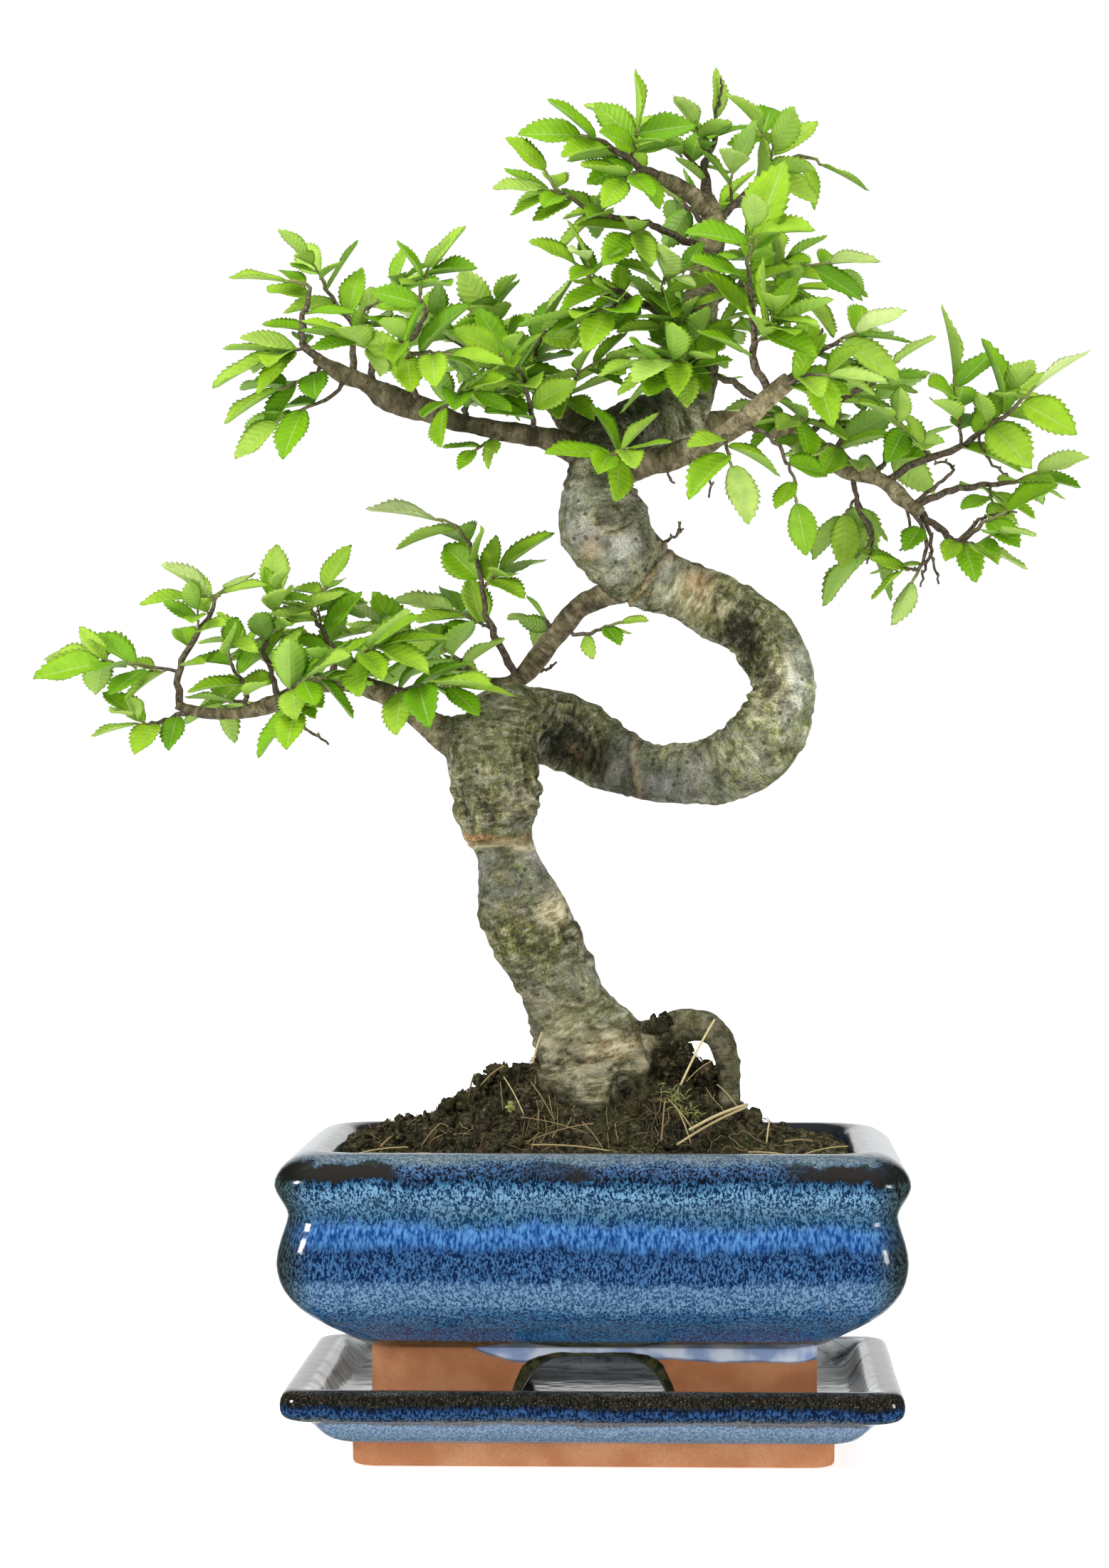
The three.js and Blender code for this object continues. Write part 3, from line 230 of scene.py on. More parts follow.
# Each spray: first and last radius, the twig's points, and its shoots: how far along the twig each
# starts, the point its last leaf reaches, its number of leaves, and their length
SPRAYS = {
    "left_tip": ((1.6, 0.9), [(-139, -6, 246), (-139, -6, 258), (-133, -6, 270), (-127, -6, 281)], [(1,
        (-150, -13, 284), 6, 20), (0.3, (-184, -17, 262), 7, 24)]),
    "left_low_tip": ((1.2, 0.8), [(-134.5, -6, 244), (-146, -8, 240)], [(1, (-167, -15, 239), 5, 18)]),
    "left_upright": ((1.4, 0.8), [(-105, -8, 247), (-108, -6, 256), (-111, -3, 265), (-108, 0, 274)],
        [(1, (-106, 5, 300), 7, 20), (0.45, (-122, 38, 274), 6, 19)]),
    "left_inner_upright": ((1.5, 0.8), [(-89, -9, 253), (-87, -6, 262), (-91, -2, 270), (-95, 0, 278)],
        [(1, (-84, 4, 298), 6, 20), (0.35, (-97, 42, 272), 7, 20)]),
    "left_low_upright": ((1.2, 0.8), [(-117, -6, 244), (-117, -8, 252), (-121, -10, 259)], [(1,
        (-128, -16, 279), 6, 19), (0.2, (-140, 28, 247), 5, 19)]),
    "left_front": ((1.2, 0.9), [(-104, -8, 247.5), (-100, -18, 251)], [(1, (-82, -43, 263), 6, 25)]),
    "left_front_high": ((1.2, 0.9), [(-82, -10, 253), (-79, -19, 260)], [(1, (-64, -38, 275), 7, 24)]),
    "left_front_inner": ((1.2, 0.9), [(-69, -11, 249.5), (-63, -20, 251)], [(1,
        (-37, -40, 255), 5, 25)]),
    "left_under": ((1, 0.8), [(-96, -8.5, 251), (-97, -18, 246)], [(1, (-100, -31, 240), 4, 20)]),
    "shoulder_upright": ((1.8, 0.9), [(-28, 23, 255), (-34, 18, 268), (-38, 17, 277), (-40, 15, 291),
        (-46, 12, 305)], [(1, (-72, 3, 317), 5, 26), (0.65, (-20, 6, 304), 5, 23), (0.35,
        (-66, 22, 287), 6, 22)]),
    "shoulder_back": ((1.7, 1), [(-35, 26, 254), (-45, 29, 257), (-58, 33, 262)], [(1,
        (-86, 51, 278), 7, 22), (0.3, (-62, -10, 273), 6, 22)]),
    "shoulder_small": ((1, 0.7), [(-15, 18, 269), (-17, 25, 274)], [(1, (-27, 36, 277), 4, 13)]),
    "shoulder_inner": ((1, 0.7), [(-12, 16, 272), (-5, 10, 269.5), (2, -2, 272)], [(1,
        (14, -12, 274), 4, 13)]),
    "upper_left_tip": ((1.9, 0.9), [(-91, -12, 360), (-97, -12, 366), (-97, -12, 375),
        (-95, -12, 384)], [(1, (-112, -16, 389), 6, 20), (0.25, (-127, -18, 357), 6, 26)]),
    "upper_left_low": ((1, 0.8), [(-90, -12.5, 359), (-95, -15, 354)], [(1, (-123, -21, 343), 5, 22)]),
    "upper_left_under": ((1, 0.8), [(-82, -13.5, 355), (-89, -16, 347)], [(1,
        (-122, -23, 331), 6, 22)]),
    "upper_left_hook": ((1.7, 0.9), [(-75, -14, 351.5), (-73, -16, 360), (-66, -18, 364),
        (-60, -20, 367), (-56, -21, 375), (-58, -22, 382)], [(1, (-50, -27, 393), 5, 20), (0.22,
        (-82, -37, 370), 6, 22)]),
    "upper_left_back": ((1.6, 0.9), [(-80, -13.5, 353.5), (-81, -6, 367), (-82, -4, 374),
        (-90, 0, 384)], [(1, (-94, 5, 393), 5, 20), (0.62, (-54, 5, 395), 6, 20), (0.4,
        (-70, 20, 382), 5, 20)]),
    "upper_left_front": ((1.5, 0.9), [(-56, -14, 343.5), (-61, -20, 351), (-62, -26, 359),
        (-54, -36, 360)], [(1, (-36, -44, 358), 6, 23)]),
    "upper_left_middle": ((1.3, 0.9), [(-43, -12, 338.5), (-43, -8, 346), (-35, 0, 350)], [(1,
        (-12, 14, 359), 6, 22)]),
    "upper_left_inner": ((1.4, 0.9), [(-20, -8, 335), (-21, -12, 342), (-24, -22, 354)], [(1,
        (-43, -38, 372), 7, 22)]),
    "upper_left_front_low": ((1.2, 0.9), [(-52, -13.5, 342), (-47, -26, 346)], [(1,
        (-30, -48, 352), 6, 22)]),
    "upper_left_small": ((0.9, 0.7), [(-32, -10, 337), (-35, -16, 333)], [(1,
        (-43, -25, 327), 4, 13)]),
    "middle_left_tip": ((1.6, 0.9), [(-32, 26.5, 363), (-45, 29, 368)], [(1, (-70, 38, 384), 7, 22)]),
    "middle_left_upright": ((1.3, 0.9), [(-30, 25.5, 361.5), (-34, 26, 370)], [(1,
        (-42, 22, 390), 7, 21)]),
    "middle_left_inner": ((1.3, 0.9), [(-22, 22.5, 356), (-21, 16, 366)], [(1, (-11, 4, 388), 7, 21)]),
    "middle_left_back": ((1.3, 0.9), [(-20, 21.5, 354.5), (-27, 36, 362)], [(1,
        (-40, 66, 376), 7, 22)]),
    "middle_left_front": ((1.3, 0.9), [(-12, 16, 346.5), (-8, 2, 353)], [(1, (-1, -24, 366), 6, 22)]),
    "centre_left": ((2.2, 1), [(33.5, 11.5, 369), (22, 0, 376), (10, -10, 381), (-1, -16, 386)], [(1,
        (-14, -24, 398), 7, 21), (0.65, (-5, -38, 366), 6, 23), (0.35, (24, -30, 399), 6, 22)]),
    "centre_front": ((1.4, 0.9), [(32.5, 13, 361), (29, -4, 359)], [(1, (16, -34, 352), 6, 22)]),
    "centre_back": ((1.6, 0.9), [(33, 12.5, 364), (29, 30, 375), (25, 44, 381)], [(1,
        (18, 64, 396), 7, 22), (0.6, (42, 58, 373), 6, 22)]),
    "centre_right": ((2, 1), [(34.5, 9, 378.5), (48, 16, 388), (63, 20, 393)], [(1,
        (97, 24, 399), 7, 22), (0.85, (78, -8, 373), 6, 22), (0.45, (62, 47, 411), 6, 22)]),
    "front_right_top": ((1.9, 1), [(58, -28, 347), (52, -28, 356), (52, -27, 366), (51, -25, 380),
        (50, -24, 390)], [(1, (61, -30, 417), 7, 28), (0.42, (74, -42, 381), 6, 24)]),
    "front_right_inner": ((1.7, 0.9), [(54.5, -27, 344), (47, -22, 351), (40, -16, 354),
        (33, -12, 361), (29, -9, 369)], [(1, (6, -24, 374), 6, 22), (0.7, (12, -44, 356), 6, 23)]),
    "front_right_hanging": ((1.1, 0.7), [(47, -25, 337), (56, -26, 334), (61, -23, 329),
        (65, -21, 320)], [(1, (67, -20, 303), 4, 19)]),
    "front_right_tip": ((1.6, 0.9), [(62, -28, 350.5), (70, -24, 358), (78, -19, 364)], [(1,
        (103, -17, 377), 6, 23)]),
    "front_right_under": ((1, 0.8), [(43, -23.5, 335), (43, -30, 331)], [(1, (47, -36, 314), 4, 23)]),
    "front_right_low": ((1.3, 0.9), [(59.5, -28, 348), (68, -33, 352)], [(1, (91, -42, 352), 6, 22)]),
    "front_centre": ((1.2, 0.9), [(11, -7, 325.5), (7, -19, 328)], [(1, (1, -42, 326), 4, 24)]),
    "right_tip": ((1.9, 0.9), [(97, 25.5, 322), (110, 20, 329), (120, 14, 332), (128, 10, 337),
        (140, 3, 346)], [(1, (158, -5, 364), 6, 26), (0.76, (146, 17, 362), 5, 22), (0.56,
        (117, 1, 378), 6, 26), (0.3, (87, -9, 352), 6, 22)]),
    "right_low_tip": ((1.8, 0.9), [(106, 23, 314), (120, 24, 319), (131, 26, 321), (141, 28, 322)],
        [(1, (156, 27, 328), 5, 20), (0.7, (134, 15, 308), 3, 19)]),
    "right_end": ((1.8, 0.8), [(107.5, 22.5, 312), (116, 20, 305), (121, 16, 301), (129, 13, 307)],
        [(1, (152, 9, 320), 4, 20), (0.6, (138, 13, 297), 4, 20)]),
    "right_hanging": ((1, 0.7), [(105, 23.3, 314.8), (110, 17, 303), (110, 18, 295)], [(1,
        (104, 20, 284), 4, 18)]),
    "right_hanging_inner": ((1.2, 0.8), [(86.5, 27.5, 325.5), (88, 34, 316), (93, 38, 304)], [(1,
        (78, 43, 283), 5, 20), (0.45, (76, 41, 301), 4, 22)]),
    "right_back": ((1.6, 0.9), [(79, 29, 328.5), (84, 39, 339), (88, 46, 346)], [(1,
        (103, 45, 360), 6, 21), (0.6, (70, 62, 360), 6, 22)]),
    "right_top": ((1.7, 0.9), [(69.5, 30.8, 335.5), (75, 21, 342), (82, 8, 349), (92, -1, 353)], [(1,
        (110, -17, 370), 6, 22), (0.3, (58, -18, 341), 6, 21)]),
    "right_inner": ((1.2, 0.9), [(89, 27.2, 325), (80, 13, 333)], [(1, (66, -8, 330), 6, 20)]),
    "right_back_low": ((1.3, 0.9), [(93, 26.5, 323.7), (99, 36, 331)], [(1, (115, 50, 342), 6, 20)]),
    "crown_left": ((2.2, 1.1), [(22, -7, 420.5), (14, -11, 424), (3, -14, 431)], [(1,
        (-22, -21, 439), 6, 22), (0.6, (17, -22, 452), 6, 20), (0.4, (1, -34, 412), 5, 20)]),
    "crown_top": ((2.4, 0.9), [(36.5, 0.5, 413.5), (36, 3, 425), (39, 5, 434)], [(1,
        (41, 6, 456), 5, 17), (0.45, (0, 2, 449), 6, 20), (0.7, (26, -10, 452), 5, 19)]),
    "crown_right": ((1.9, 0.9), [(39, 2.2, 406), (46, 5, 414), (56, 8, 423), (68, 12, 430)], [(1,
        (80, 12, 426), 5, 20), (0.62, (66, -8, 446), 6, 22), (0.3, (44, -29, 432), 6, 22)]),
    "crown_low_left": ((1.8, 0.9), [(38, 4, 397), (24, -4, 403), (15, -8, 406), (1, -12, 408),
        (-12, -17, 415)], [(1, (-23, -23, 431), 5, 19), (0.93, (-32, -26, 420), 5, 19), (0.7,
        (-11, 8, 414), 5, 19), (0.42, (1, -30, 394), 6, 21)]),
    "crown_back": ((1.5, 0.9), [(38.3, 3.5, 401), (33, 20, 412), (27, 36, 419)], [(1,
        (16, 56, 430), 6, 21), (0.5, (53, 48, 423), 6, 21)]),
}
# A shoot ends this share of a leaf's length short of that point, but is no shorter than this
SHOOT = {"overhang": 0.85, "shortest": 9}
# How the solids turn and shorten a leaf to keep it clear of others, and how scene.py does for its own
SOLID_TURNS = (0, 28, -28, 56, -56)
SOLID_SIZES = (1, 0.82)
TURNS = (0, 25, -25, 50, -50, 80, -80)
SIDE_TURNS = (0, 30, -30, 60, -60)
FOUND = 0.3  # a leaf is in the solids if its tip lies this near one of their corners
CELL = 8  # the size of the cells that leaves are looked up in
CLEAR = 3.2  # a place with this much room round it is taken at once
ENOUGH = 2.6  # with this much a leaf keeps its size
# The sprays that side shoots fill out, and those that keep bare twigs
FULL = ("left_tip", "left_upright", "left_inner_upright", "left_low_upright", "left_front",
        "centre", "middle", "front_right_top", "front_right_inner", "front_right_low",
        "upper_left_middle", "upper_left_front", "upper_left_inner", "shoulder_back")
SPARSE = ("upper_left_hook", "upper_left_under", "right_hanging", "front_right_hanging",
          "right_end", "crown_right", "left_low_tip")
# Bare twigs: the first radius and the points
BARE = [
    (0.75, [(86, 27.5, 324), (87, 25, 317), (88, 24, 311), (92.7, 24, 302.4), (90.8, 24, 294)]),
    (0.6, [(100, 24.5, 319), (104, 23, 314), (105, 22, 303.5), (101.8, 22, 298.4)]),
    (0.75, [(109, 22, 310), (112.5, 19, 300.6), (110, 18, 291.7), (108.6, 18, 286)]),
    (0.5, [(110.9, 18, 294.6), (106.1, 18, 291.7), (101.6, 18, 292.9)]),
    (0.5, [(111.9, 18, 297.7), (113.6, 18, 292.9), (114.8, 18, 286.9)]),
    (0.6, [(116, 20, 305), (120, 20, 299.6), (124.2, 20, 297.8)]),
    (0.7, [(121, 16, 301), (127.8, 16, 308.1), (133, 16, 310.2), (140.9, 16, 310.9)]),
    (0.7, [(106, 23, 314), (114.6, 16, 320.6), (119.4, 16, 325.1), (117, 15, 328), (113, 15, 327)]),
    (0.5, [(128, 10, 337), (129, 7, 330.6), (133.6, 6, 325.3), (137.1, 6, 322.4)]),
    (0.5, [(75, -21.5, 361.5), (74, -22, 365.6), (74.4, -22, 369)]),
    (0.6, [(88, 3, 351.5), (92, 2, 356), (97, 2, 358.7), (101, 2, 360.6)]),
    (0.5, [(22, -14.5, 326), (24, -15, 321.5), (26.2, -15, 318.8)]),
    (0.55, [(31, -19, 329), (35.6, -20, 323), (37.5, -20, 319), (37.3, -20, 313.7)]),
    (0.7, [(-22, 22.5, 259), (-18.5, 23, 258), (-14.2, 24, 261)]),
    (0.6, [(-14, 17.5, 270), (-16.7, 15, 273), (-18.8, 14, 275.8)]),
    (0.6, [(-102, -9, 247), (-99.6, -11, 240), (-93.7, -12, 236), (-88.7, -12, 232.7)]),
    (0.6, [(39, 5, 434), (39.7, 4, 443.5), (41.6, 4, 450), (41.3, 4, 455.5)]),
    (0.7, [(21, -6, 297), (23.1, -5, 300), (26.2, -4, 302.1), (29, -4, 304.5)]),
    (0.45, [(26.6, -4, 302.1), (27.8, -4, 304.5), (27.3, -4, 306.6)]),
]

# Tables of the glazes: height, then the dark and the pale grains there. Their ramps run from the
# first height of the span to its second

POT_SPAN = (36, 104)
POT_TONES = [
    (38.5, (18, 66, 78), (60, 112, 128)), (40.6, (6, 56, 96), (42, 112, 156)),
    (42, (3, 48, 94), (34, 108, 160)), (45.5, (3, 29, 60), (38, 92, 132)),
    (50, (7, 32, 66), (54, 98, 132)), (51.5, (12, 40, 74), (62, 106, 140)),
    (53.5, (32, 62, 94), (102, 132, 158)), (60.4, (40, 70, 102), (94, 124, 152)),
    (62.2, (8, 28, 60), (55, 92, 131)), (66.8, (8, 26, 58), (54, 91, 130)),
    (71, (8, 24, 54), (46, 78, 116)), (73.2, (10, 46, 98), (66, 112, 160)),
    (77.4, (14, 54, 110), (82, 130, 182)), (79.6, (14, 44, 80), (68, 108, 146)),
    (81.4, (16, 44, 70), (60, 100, 128)), (85, (26, 52, 76), (90, 124, 149)),
    (89.3, (14, 42, 72), (106, 146, 174)), (92.8, (5, 24, 48), (54, 95, 126)),
    (94.6, (8, 13, 22), (40, 68, 98)), (98, (14, 22, 38), (66, 98, 138)),
    (99.4, (36, 52, 70), (92, 117, 140)), (101, (74, 88, 98), (114, 128, 138)),
]
SAUCER_SPAN = (7, 29)
# the pale rows up to 14.6, on the under-band that faces down, are partly the glaze's own pale blue and
# partly painted light that lifts its shade
SAUCER_TONES = [
    (7, (70, 92, 108), (108, 130, 146)), (10.5, (76, 100, 122), (114, 134, 152)),
    (14.6, (86, 110, 138), (132, 150, 170)), (15.8, (68, 72, 74), (108, 108, 108)),
    (16.8, (72, 76, 76), (122, 120, 116)), (17.8, (22, 32, 44), (70, 84, 96)),
    (19.2, (8, 24, 48), (44, 74, 112)), (20.4, (8, 24, 50), (44, 76, 118)),
    (21.8, (8, 16, 28), (24, 38, 58)), (22.8, (17, 18, 14), (42, 42, 34)),
    (25.6, (17, 15, 11), (37, 33, 26)), (26.8, (34, 34, 30), (74, 74, 70)),
]


# Arithmetic

def vec(*values):
    return np.array(values, float)


def unit(v):
    v = np.asarray(v, float)
    return v / max(np.linalg.norm(v), 1e-12)


def units(rows):
    return rows / np.linalg.norm(rows, axis=1)[:, None]


def bell(x):
    return np.exp(-(x ** 2))


def draw(a, b, c):
    """A number from 0 to 1 that depends on these three alone."""
    s = math.sin(a * 12.9898 + b * 78.233 + c * 37.719) * 43758.5453
    return s - math.floor(s)


def turned(v, axis, angle):
    """v turned about a unit axis."""
    return (v * math.cos(angle) + np.cross(axis, v) * math.sin(angle)
            + axis * np.dot(axis, v) * (1 - math.cos(angle)))


def smooth(low, high, x):
    t = np.clip((x - low) / (high - low), 0, 1)
    return t * t * (3 - 2 * t)


def lattice(i, j, k, seed):
    """A fixed value from -1 to 1 for each whole place."""
    word = np.uint32
    n = (i.astype(word) * word(374761393) + j.astype(word) * word(668265263)
         + k.astype(word) * word(2246822519) + word(seed * 3266489917 & 0xFFFFFFFF))
    n = (n ^ (n >> word(13))) * word(1274126177)
    n = (n ^ (n >> word(16))) * word(2654435761)
    return (n ^ (n >> word(15))).astype(float) / 4294967295.0 * 2 - 1


def noise(p, size, seed=0):
    """Smooth noise from -1 to 1 at points p (n, 3), with features about size apart. size may be a
    triple, one for each axis."""
    q = p / np.asarray(size, float)
    base = np.floor(q)
    f = q - base
    f = f * f * f * (f * (f * 6 - 15) + 10)
    cell = base.astype(np.int64)
    total = np.zeros(len(p))
    for corner in itertools.product((0, 1), repeat=3):
        weight = np.where(corner, f, 1 - f)
        total += (weight[:, 0] * weight[:, 1] * weight[:, 2]
                  * lattice(*(cell + corner).T, seed))
    return total


def spline(points, steps):
    """A smooth curve through points (n, m), with steps samples to each span."""
    p = np.asarray(points, float)
    p = np.vstack([2 * p[0] - p[1], p, 2 * p[-1] - p[-2]])
    t = np.arange(steps)[:, None] / steps
    out = [0.5 * (2 * b + (c - a) * t + (2 * a - 5 * b + 4 * c - d) * t ** 2
                  + (3 * b - a - 3 * c + d) * t ** 3) for a, b, c, d in zip(p, p[1:], p[2:], p[3:])]
    return np.vstack([*out, p[-2][None]])


# Meshes

class Shell:
    """Vertices, faces and point values gathered for one piece."""

    def __init__(self):
        self.points, self.faces, self.slots, self.values, self.count = [], [], [], {}, 0

    def add(self, points, faces, slot=0, **values):
        first, self.count = self.count, self.count + len(points)
        self.points.append(points)
        self.faces.extend(tuple(i + first for i in face) for face in faces)
        self.slots.extend([slot] * len(faces))
        for name, value in values.items():
            self.values.setdefault(name, []).append((first, self.count, value))

    def piece(self, name, node, materials):
        made = mesh_object(name, np.vstack(self.points), self.faces, materials, self.slots)
        for key, parts in self.values.items():
            data = np.zeros((self.count, 3) if key in VECTORS else self.count)
            for first, last, value in parts:
                data[first:last] = value
            store(made, key, data)
        finish_piece(made, node)


def mesh_object(name, points, faces, materials, slots=None):
    mesh = bpy.data.meshes.new(name)
    lengths = np.array([len(f) for f in faces])
    flat = np.fromiter((i for f in faces for i in f), np.int32)
    starts = np.concatenate([[0], np.cumsum(lengths)[:-1]])
    mesh.vertices.add(len(points))
    write_points(mesh, points)
    mesh.loops.add(len(flat))
    mesh.loops.foreach_set("vertex_index", flat)
    mesh.polygons.add(len(faces))
    mesh.polygons.foreach_set("loop_start", starts.astype(np.int32))
    mesh.polygons.foreach_set("loop_total", lengths.astype(np.int32))
    if slots is not None:
        mesh.polygons.foreach_set("material_index", np.asarray(slots, np.int32))
    mesh.update(calc_edges=True)
    for material in materials:
        mesh.materials.append(material)
    made = bpy.data.objects.new(name, mesh)
    bpy.context.scene.collection.objects.link(made)
    return made


def store(made, name, data):
    """Keeps a value or a vector for each point of a mesh."""
    kind, key = ("FLOAT_VECTOR", "vector") if name in VECTORS else ("FLOAT", "value")
    attribute = made.data.attributes.new(name, kind, "POINT")
    attribute.data.foreach_set(key, np.asarray(data, np.float32).ravel())


def finish_piece(made, node, sharp=None):
    mesh = made.data
    mesh.polygons.foreach_set("use_smooth", np.ones(len(mesh.polygons), bool))
    if sharp:
        mesh.set_sharp_from_angle(angle=math.radians(sharp))
    if node:
        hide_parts(node)
    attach(made, BODY)


def read(items, key):
    data = np.zeros(len(items) * 3, np.float32)
    items.foreach_get(key, data)
    return data.reshape(-1, 3).astype(float)


def read_points(mesh):
    return read(mesh.vertices, "co") / MM


def write_points(mesh, points):
    mesh.vertices.foreach_set("co", (points * MM).astype(np.float32).ravel())
    mesh.update()


def apply_modifiers(made):
    evaluated = made.evaluated_get(bpy.context.evaluated_depsgraph_get())
    mesh = bpy.data.meshes.new_from_object(evaluated)
    made.modifiers.clear()
    old, made.data = made.data, mesh
    bpy.data.meshes.remove(old)


def combine(target, other, operation):
    modifier = target.modifiers.new("combine", "BOOLEAN")
    modifier.object, modifier.operation, modifier.solver = other, operation, "EXACT"
    apply_modifiers(target)
    bpy.data.objects.remove(other)


def outward_faces(made):
    """Turns the faces of a closed mesh to point out of it."""
    work = bmesh.new()
    work.from_mesh(made.data)
    bmesh.ops.recalc_face_normals(work, faces=work.faces)
    work.to_mesh(made.data)
    work.free()


def ring_faces(rings, sides, caps=True):
    """Quads between rings of points, and a face over each end."""
    faces = []
    for i, j in itertools.product(range(rings - 1), range(sides)):
        a, b = i * sides + j, i * sides + (j + 1) % sides
        faces.append((a, b, b + sides, a + sides))
    if caps:
        faces.append(tuple(reversed(range(sides))))
        faces.append(tuple(range((rings - 1) * sides, rings * sides)))
    return faces


def tube(shell, path, radii, sides, slot=0, **values):
    """A round stem along a path. Its rings turn as little as they can."""
    path = np.asarray(path, float)
    tangents = units(np.gradient(path, axis=0))
    reference = vec(0, 1, 0) if abs(tangents[0][1]) < 0.8 else vec(1, 0, 0)
    across = unit(np.cross(reference, tangents[0]))
    angles = np.arange(sides)[:, None] * 2 * math.pi / sides
    rings = []
    for centre, tangent, radius in zip(path, tangents, radii):
        across = unit(across - tangent * np.dot(across, tangent))
        up = np.cross(tangent, across)
        rings.append(centre + radius * (np.cos(angles) * across + np.sin(angles) * up))
    shell.add(np.vstack(rings), ring_faces(len(path), sides), slot, **values)


# Material nodes

def linear(colour):
    """A colour for a socket. Whole numbers are screen values from 0 to 255, others are linear."""
    if isinstance(colour[0], int):
        colour = [v / 255 / 12.92 if v <= 10 else ((v / 255 + 0.055) / 1.055) ** 2.4 for v in colour]
    return (*colour, 1)


class Value:
    """The output of a node. It can be added, subtracted and multiplied like a number."""

    def __init__(self, nodes, socket):
        self.nodes, self.socket = nodes, socket

    def __add__(self, other):
        return self.nodes.maths("ADD", self, other)

    def __sub__(self, other):
        return self.nodes.maths("SUBTRACT", self, other)

    def __rsub__(self, other):
        return self.nodes.maths("SUBTRACT", other, self)

    def __mul__(self, other):
        return self.nodes.maths("MULTIPLY", self, other)

    def __abs__(self):
        return self.nodes.maths("ABSOLUTE", self)


class Nodes:
    """The nodes of one material or world."""

    def __init__(self, tree):
        self.tree = tree

    def new(self, kind, inputs, output=0, **settings):
        node = self.tree.nodes.new("ShaderNode" + kind)
        for key, value in settings.items():
            setattr(node, key, value)
        for key, value in inputs.items():
            self.put(node.inputs[key], value)
        return Value(self, node.outputs[output]) if node.outputs else None

    def put(self, socket, value):
        if isinstance(value, Value):
            self.tree.links.new(value.socket, socket)
        else:
            socket.default_value = linear(value) if socket.type == "RGBA" else value

    def shader(self, **inputs):
        for name, value in inputs.items():
            socket = self.tree.nodes["Principled BSDF"].inputs[name.replace("_", " ")]
            self.put(socket, value)

    def surface(self, colour, roughness, specular=0.5):
        self.shader(Base_Color=colour, Roughness=roughness, Specular_IOR_Level=specular)

    def bump(self, height, distance, strength):
        self.shader(Normal=self.new("Bump", {
            "Strength": strength, "Distance": distance, "Height": height}))

    def maths(self, operation, a, b=0.0):
        return self.new("Math", {0: a, 1: b}, operation=operation)

    def attribute(self, name, output="Fac"):
        return self.new("Attribute", {}, output, attribute_name=name)

    def coordinate(self, output="Object"):
        return self.new("TexCoord", {}, output)

    def axes(self, source=None):
        x = self.new("SeparateXYZ", {0: source or self.coordinate()})
        return [Value(self, socket) for socket in x.socket.node.outputs]

    def place(self, scale=(1, 1, 1), source=None, shift=(0, 0, 0)):
        return self.new("Mapping", {"Vector": source or self.coordinate(), "Scale": scale,
                                    "Location": shift})

    def noise(self, scale, detail=2.0, rough=0.5, stretch=(1, 1, 1), source=None, distortion=0.0,
              shift=(0, 0, 0)):
        return self.new("TexNoise", {"Vector": self.place(stretch, source, shift), "Scale": scale,
                                     "Detail": detail, "Roughness": rough,
                                     "Distortion": distortion})

    def cells(self, scale, feature="F1"):
        return self.new("TexVoronoi", {"Vector": self.place(), "Scale": scale}, feature=feature)

    def step(self, value, low, high, to_low=0.0, to_high=1.0):
        """A number that goes smoothly from one to another while the value goes from low to high."""
        return self.new("MapRange", {"Value": value, "From Min": low, "From Max": high,
                                     "To Min": to_low, "To Max": to_high},
                        interpolation_type="SMOOTHSTEP")

    def ramp(self, value, stops):
        """stops: (position, colour)."""
        made = self.new("ValToRGB", {0: value})
        elements = made.socket.node.color_ramp.elements
        while len(elements) < len(stops):
            elements.new(0.5)
        for element, (position, colour) in zip(elements, stops):
            element.position, element.color = position, linear(colour)
        return made

    def mix(self, factor, a, b, blend="MIX"):
        return self.new("Mix", {0: factor, 6: a, 7: b}, 2, data_type="RGBA", blend_type=blend)

    def over(self, base, colour, value, low, high, most=1.0):
        """The base with a colour over it where the value nears high."""
        return self.mix(self.step(value, low, high, 0.0, most), base, colour)


def material(name):
    made = bpy.data.materials.new(name)
    made.use_nodes = True
    return made, Nodes(made.node_tree)


# Materials of the tree and the soil

def leaf_material():
    made, n = material("elm_leaf")
    across, along, tint = n.axes(n.attribute("leaf", "Vector"))
    side = abs(across)
    green = n.ramp(tint, [(0.0, (80, 132, 6)), (0.3, (116, 166, 6)), (0.55, (143, 182, 30)),
                          (0.8, (159, 190, 76)), (1.0, (196, 209, 142))])
    mottle = n.noise(260, 3, 0.6)
    green = n.over(green, n.mix(0.5, green, (66, 120, 4)), mottle, 0.35, 0.7, 0.45)
    # side veins, which run forward from the rib to the teeth
    near = abs(n.maths("FRACT", (along - side * 0.17) * 9.0) - 0.5)
    vein = n.step(near, 0.42, 0.5) * n.step(side, 0.95, 0.6)
    rib = n.step(side, 0.07, 0.015)
    green = n.mix(n.maths("MAXIMUM", vein * 0.22, rib * 0.8) * 0.5, green, (188, 206, 134))
    green = n.over(green, (160, 190, 82), side, 0.86, 1.0, 0.3)
    # paler undersides: partly the leaf's own paler back, partly painted light shining through it
    green = n.mix(n.attribute("under") * 0.45, green, (160, 188, 104))
    green = n.over(green, (88, 140, 12), along, 0.30, 0.02, 0.35)
    n.surface(green, n.step(mottle, 0.3, 0.7, 0.40, 0.55), 0.28)
    n.bump(n.step(near, 0.1, 0.5) * -0.6 - rib + n.noise(420, 2) * 0.5, 0.0005, 0.4)
    return made


def twig_material():
    made, n = material("elm_twig")
    speck = n.noise(900, 3, 0.6)
    brown = n.over((48, 38, 30), (112, 96, 76), speck, 0.3, 0.7)
    green = n.mix(speck, (118, 126, 58), (152, 158, 88))
    n.surface(n.mix(n.attribute("tint"), brown, green), 0.66)
    n.bump(n.noise(1200, 3, 0.6), 0.0004, 0.7)
    return made


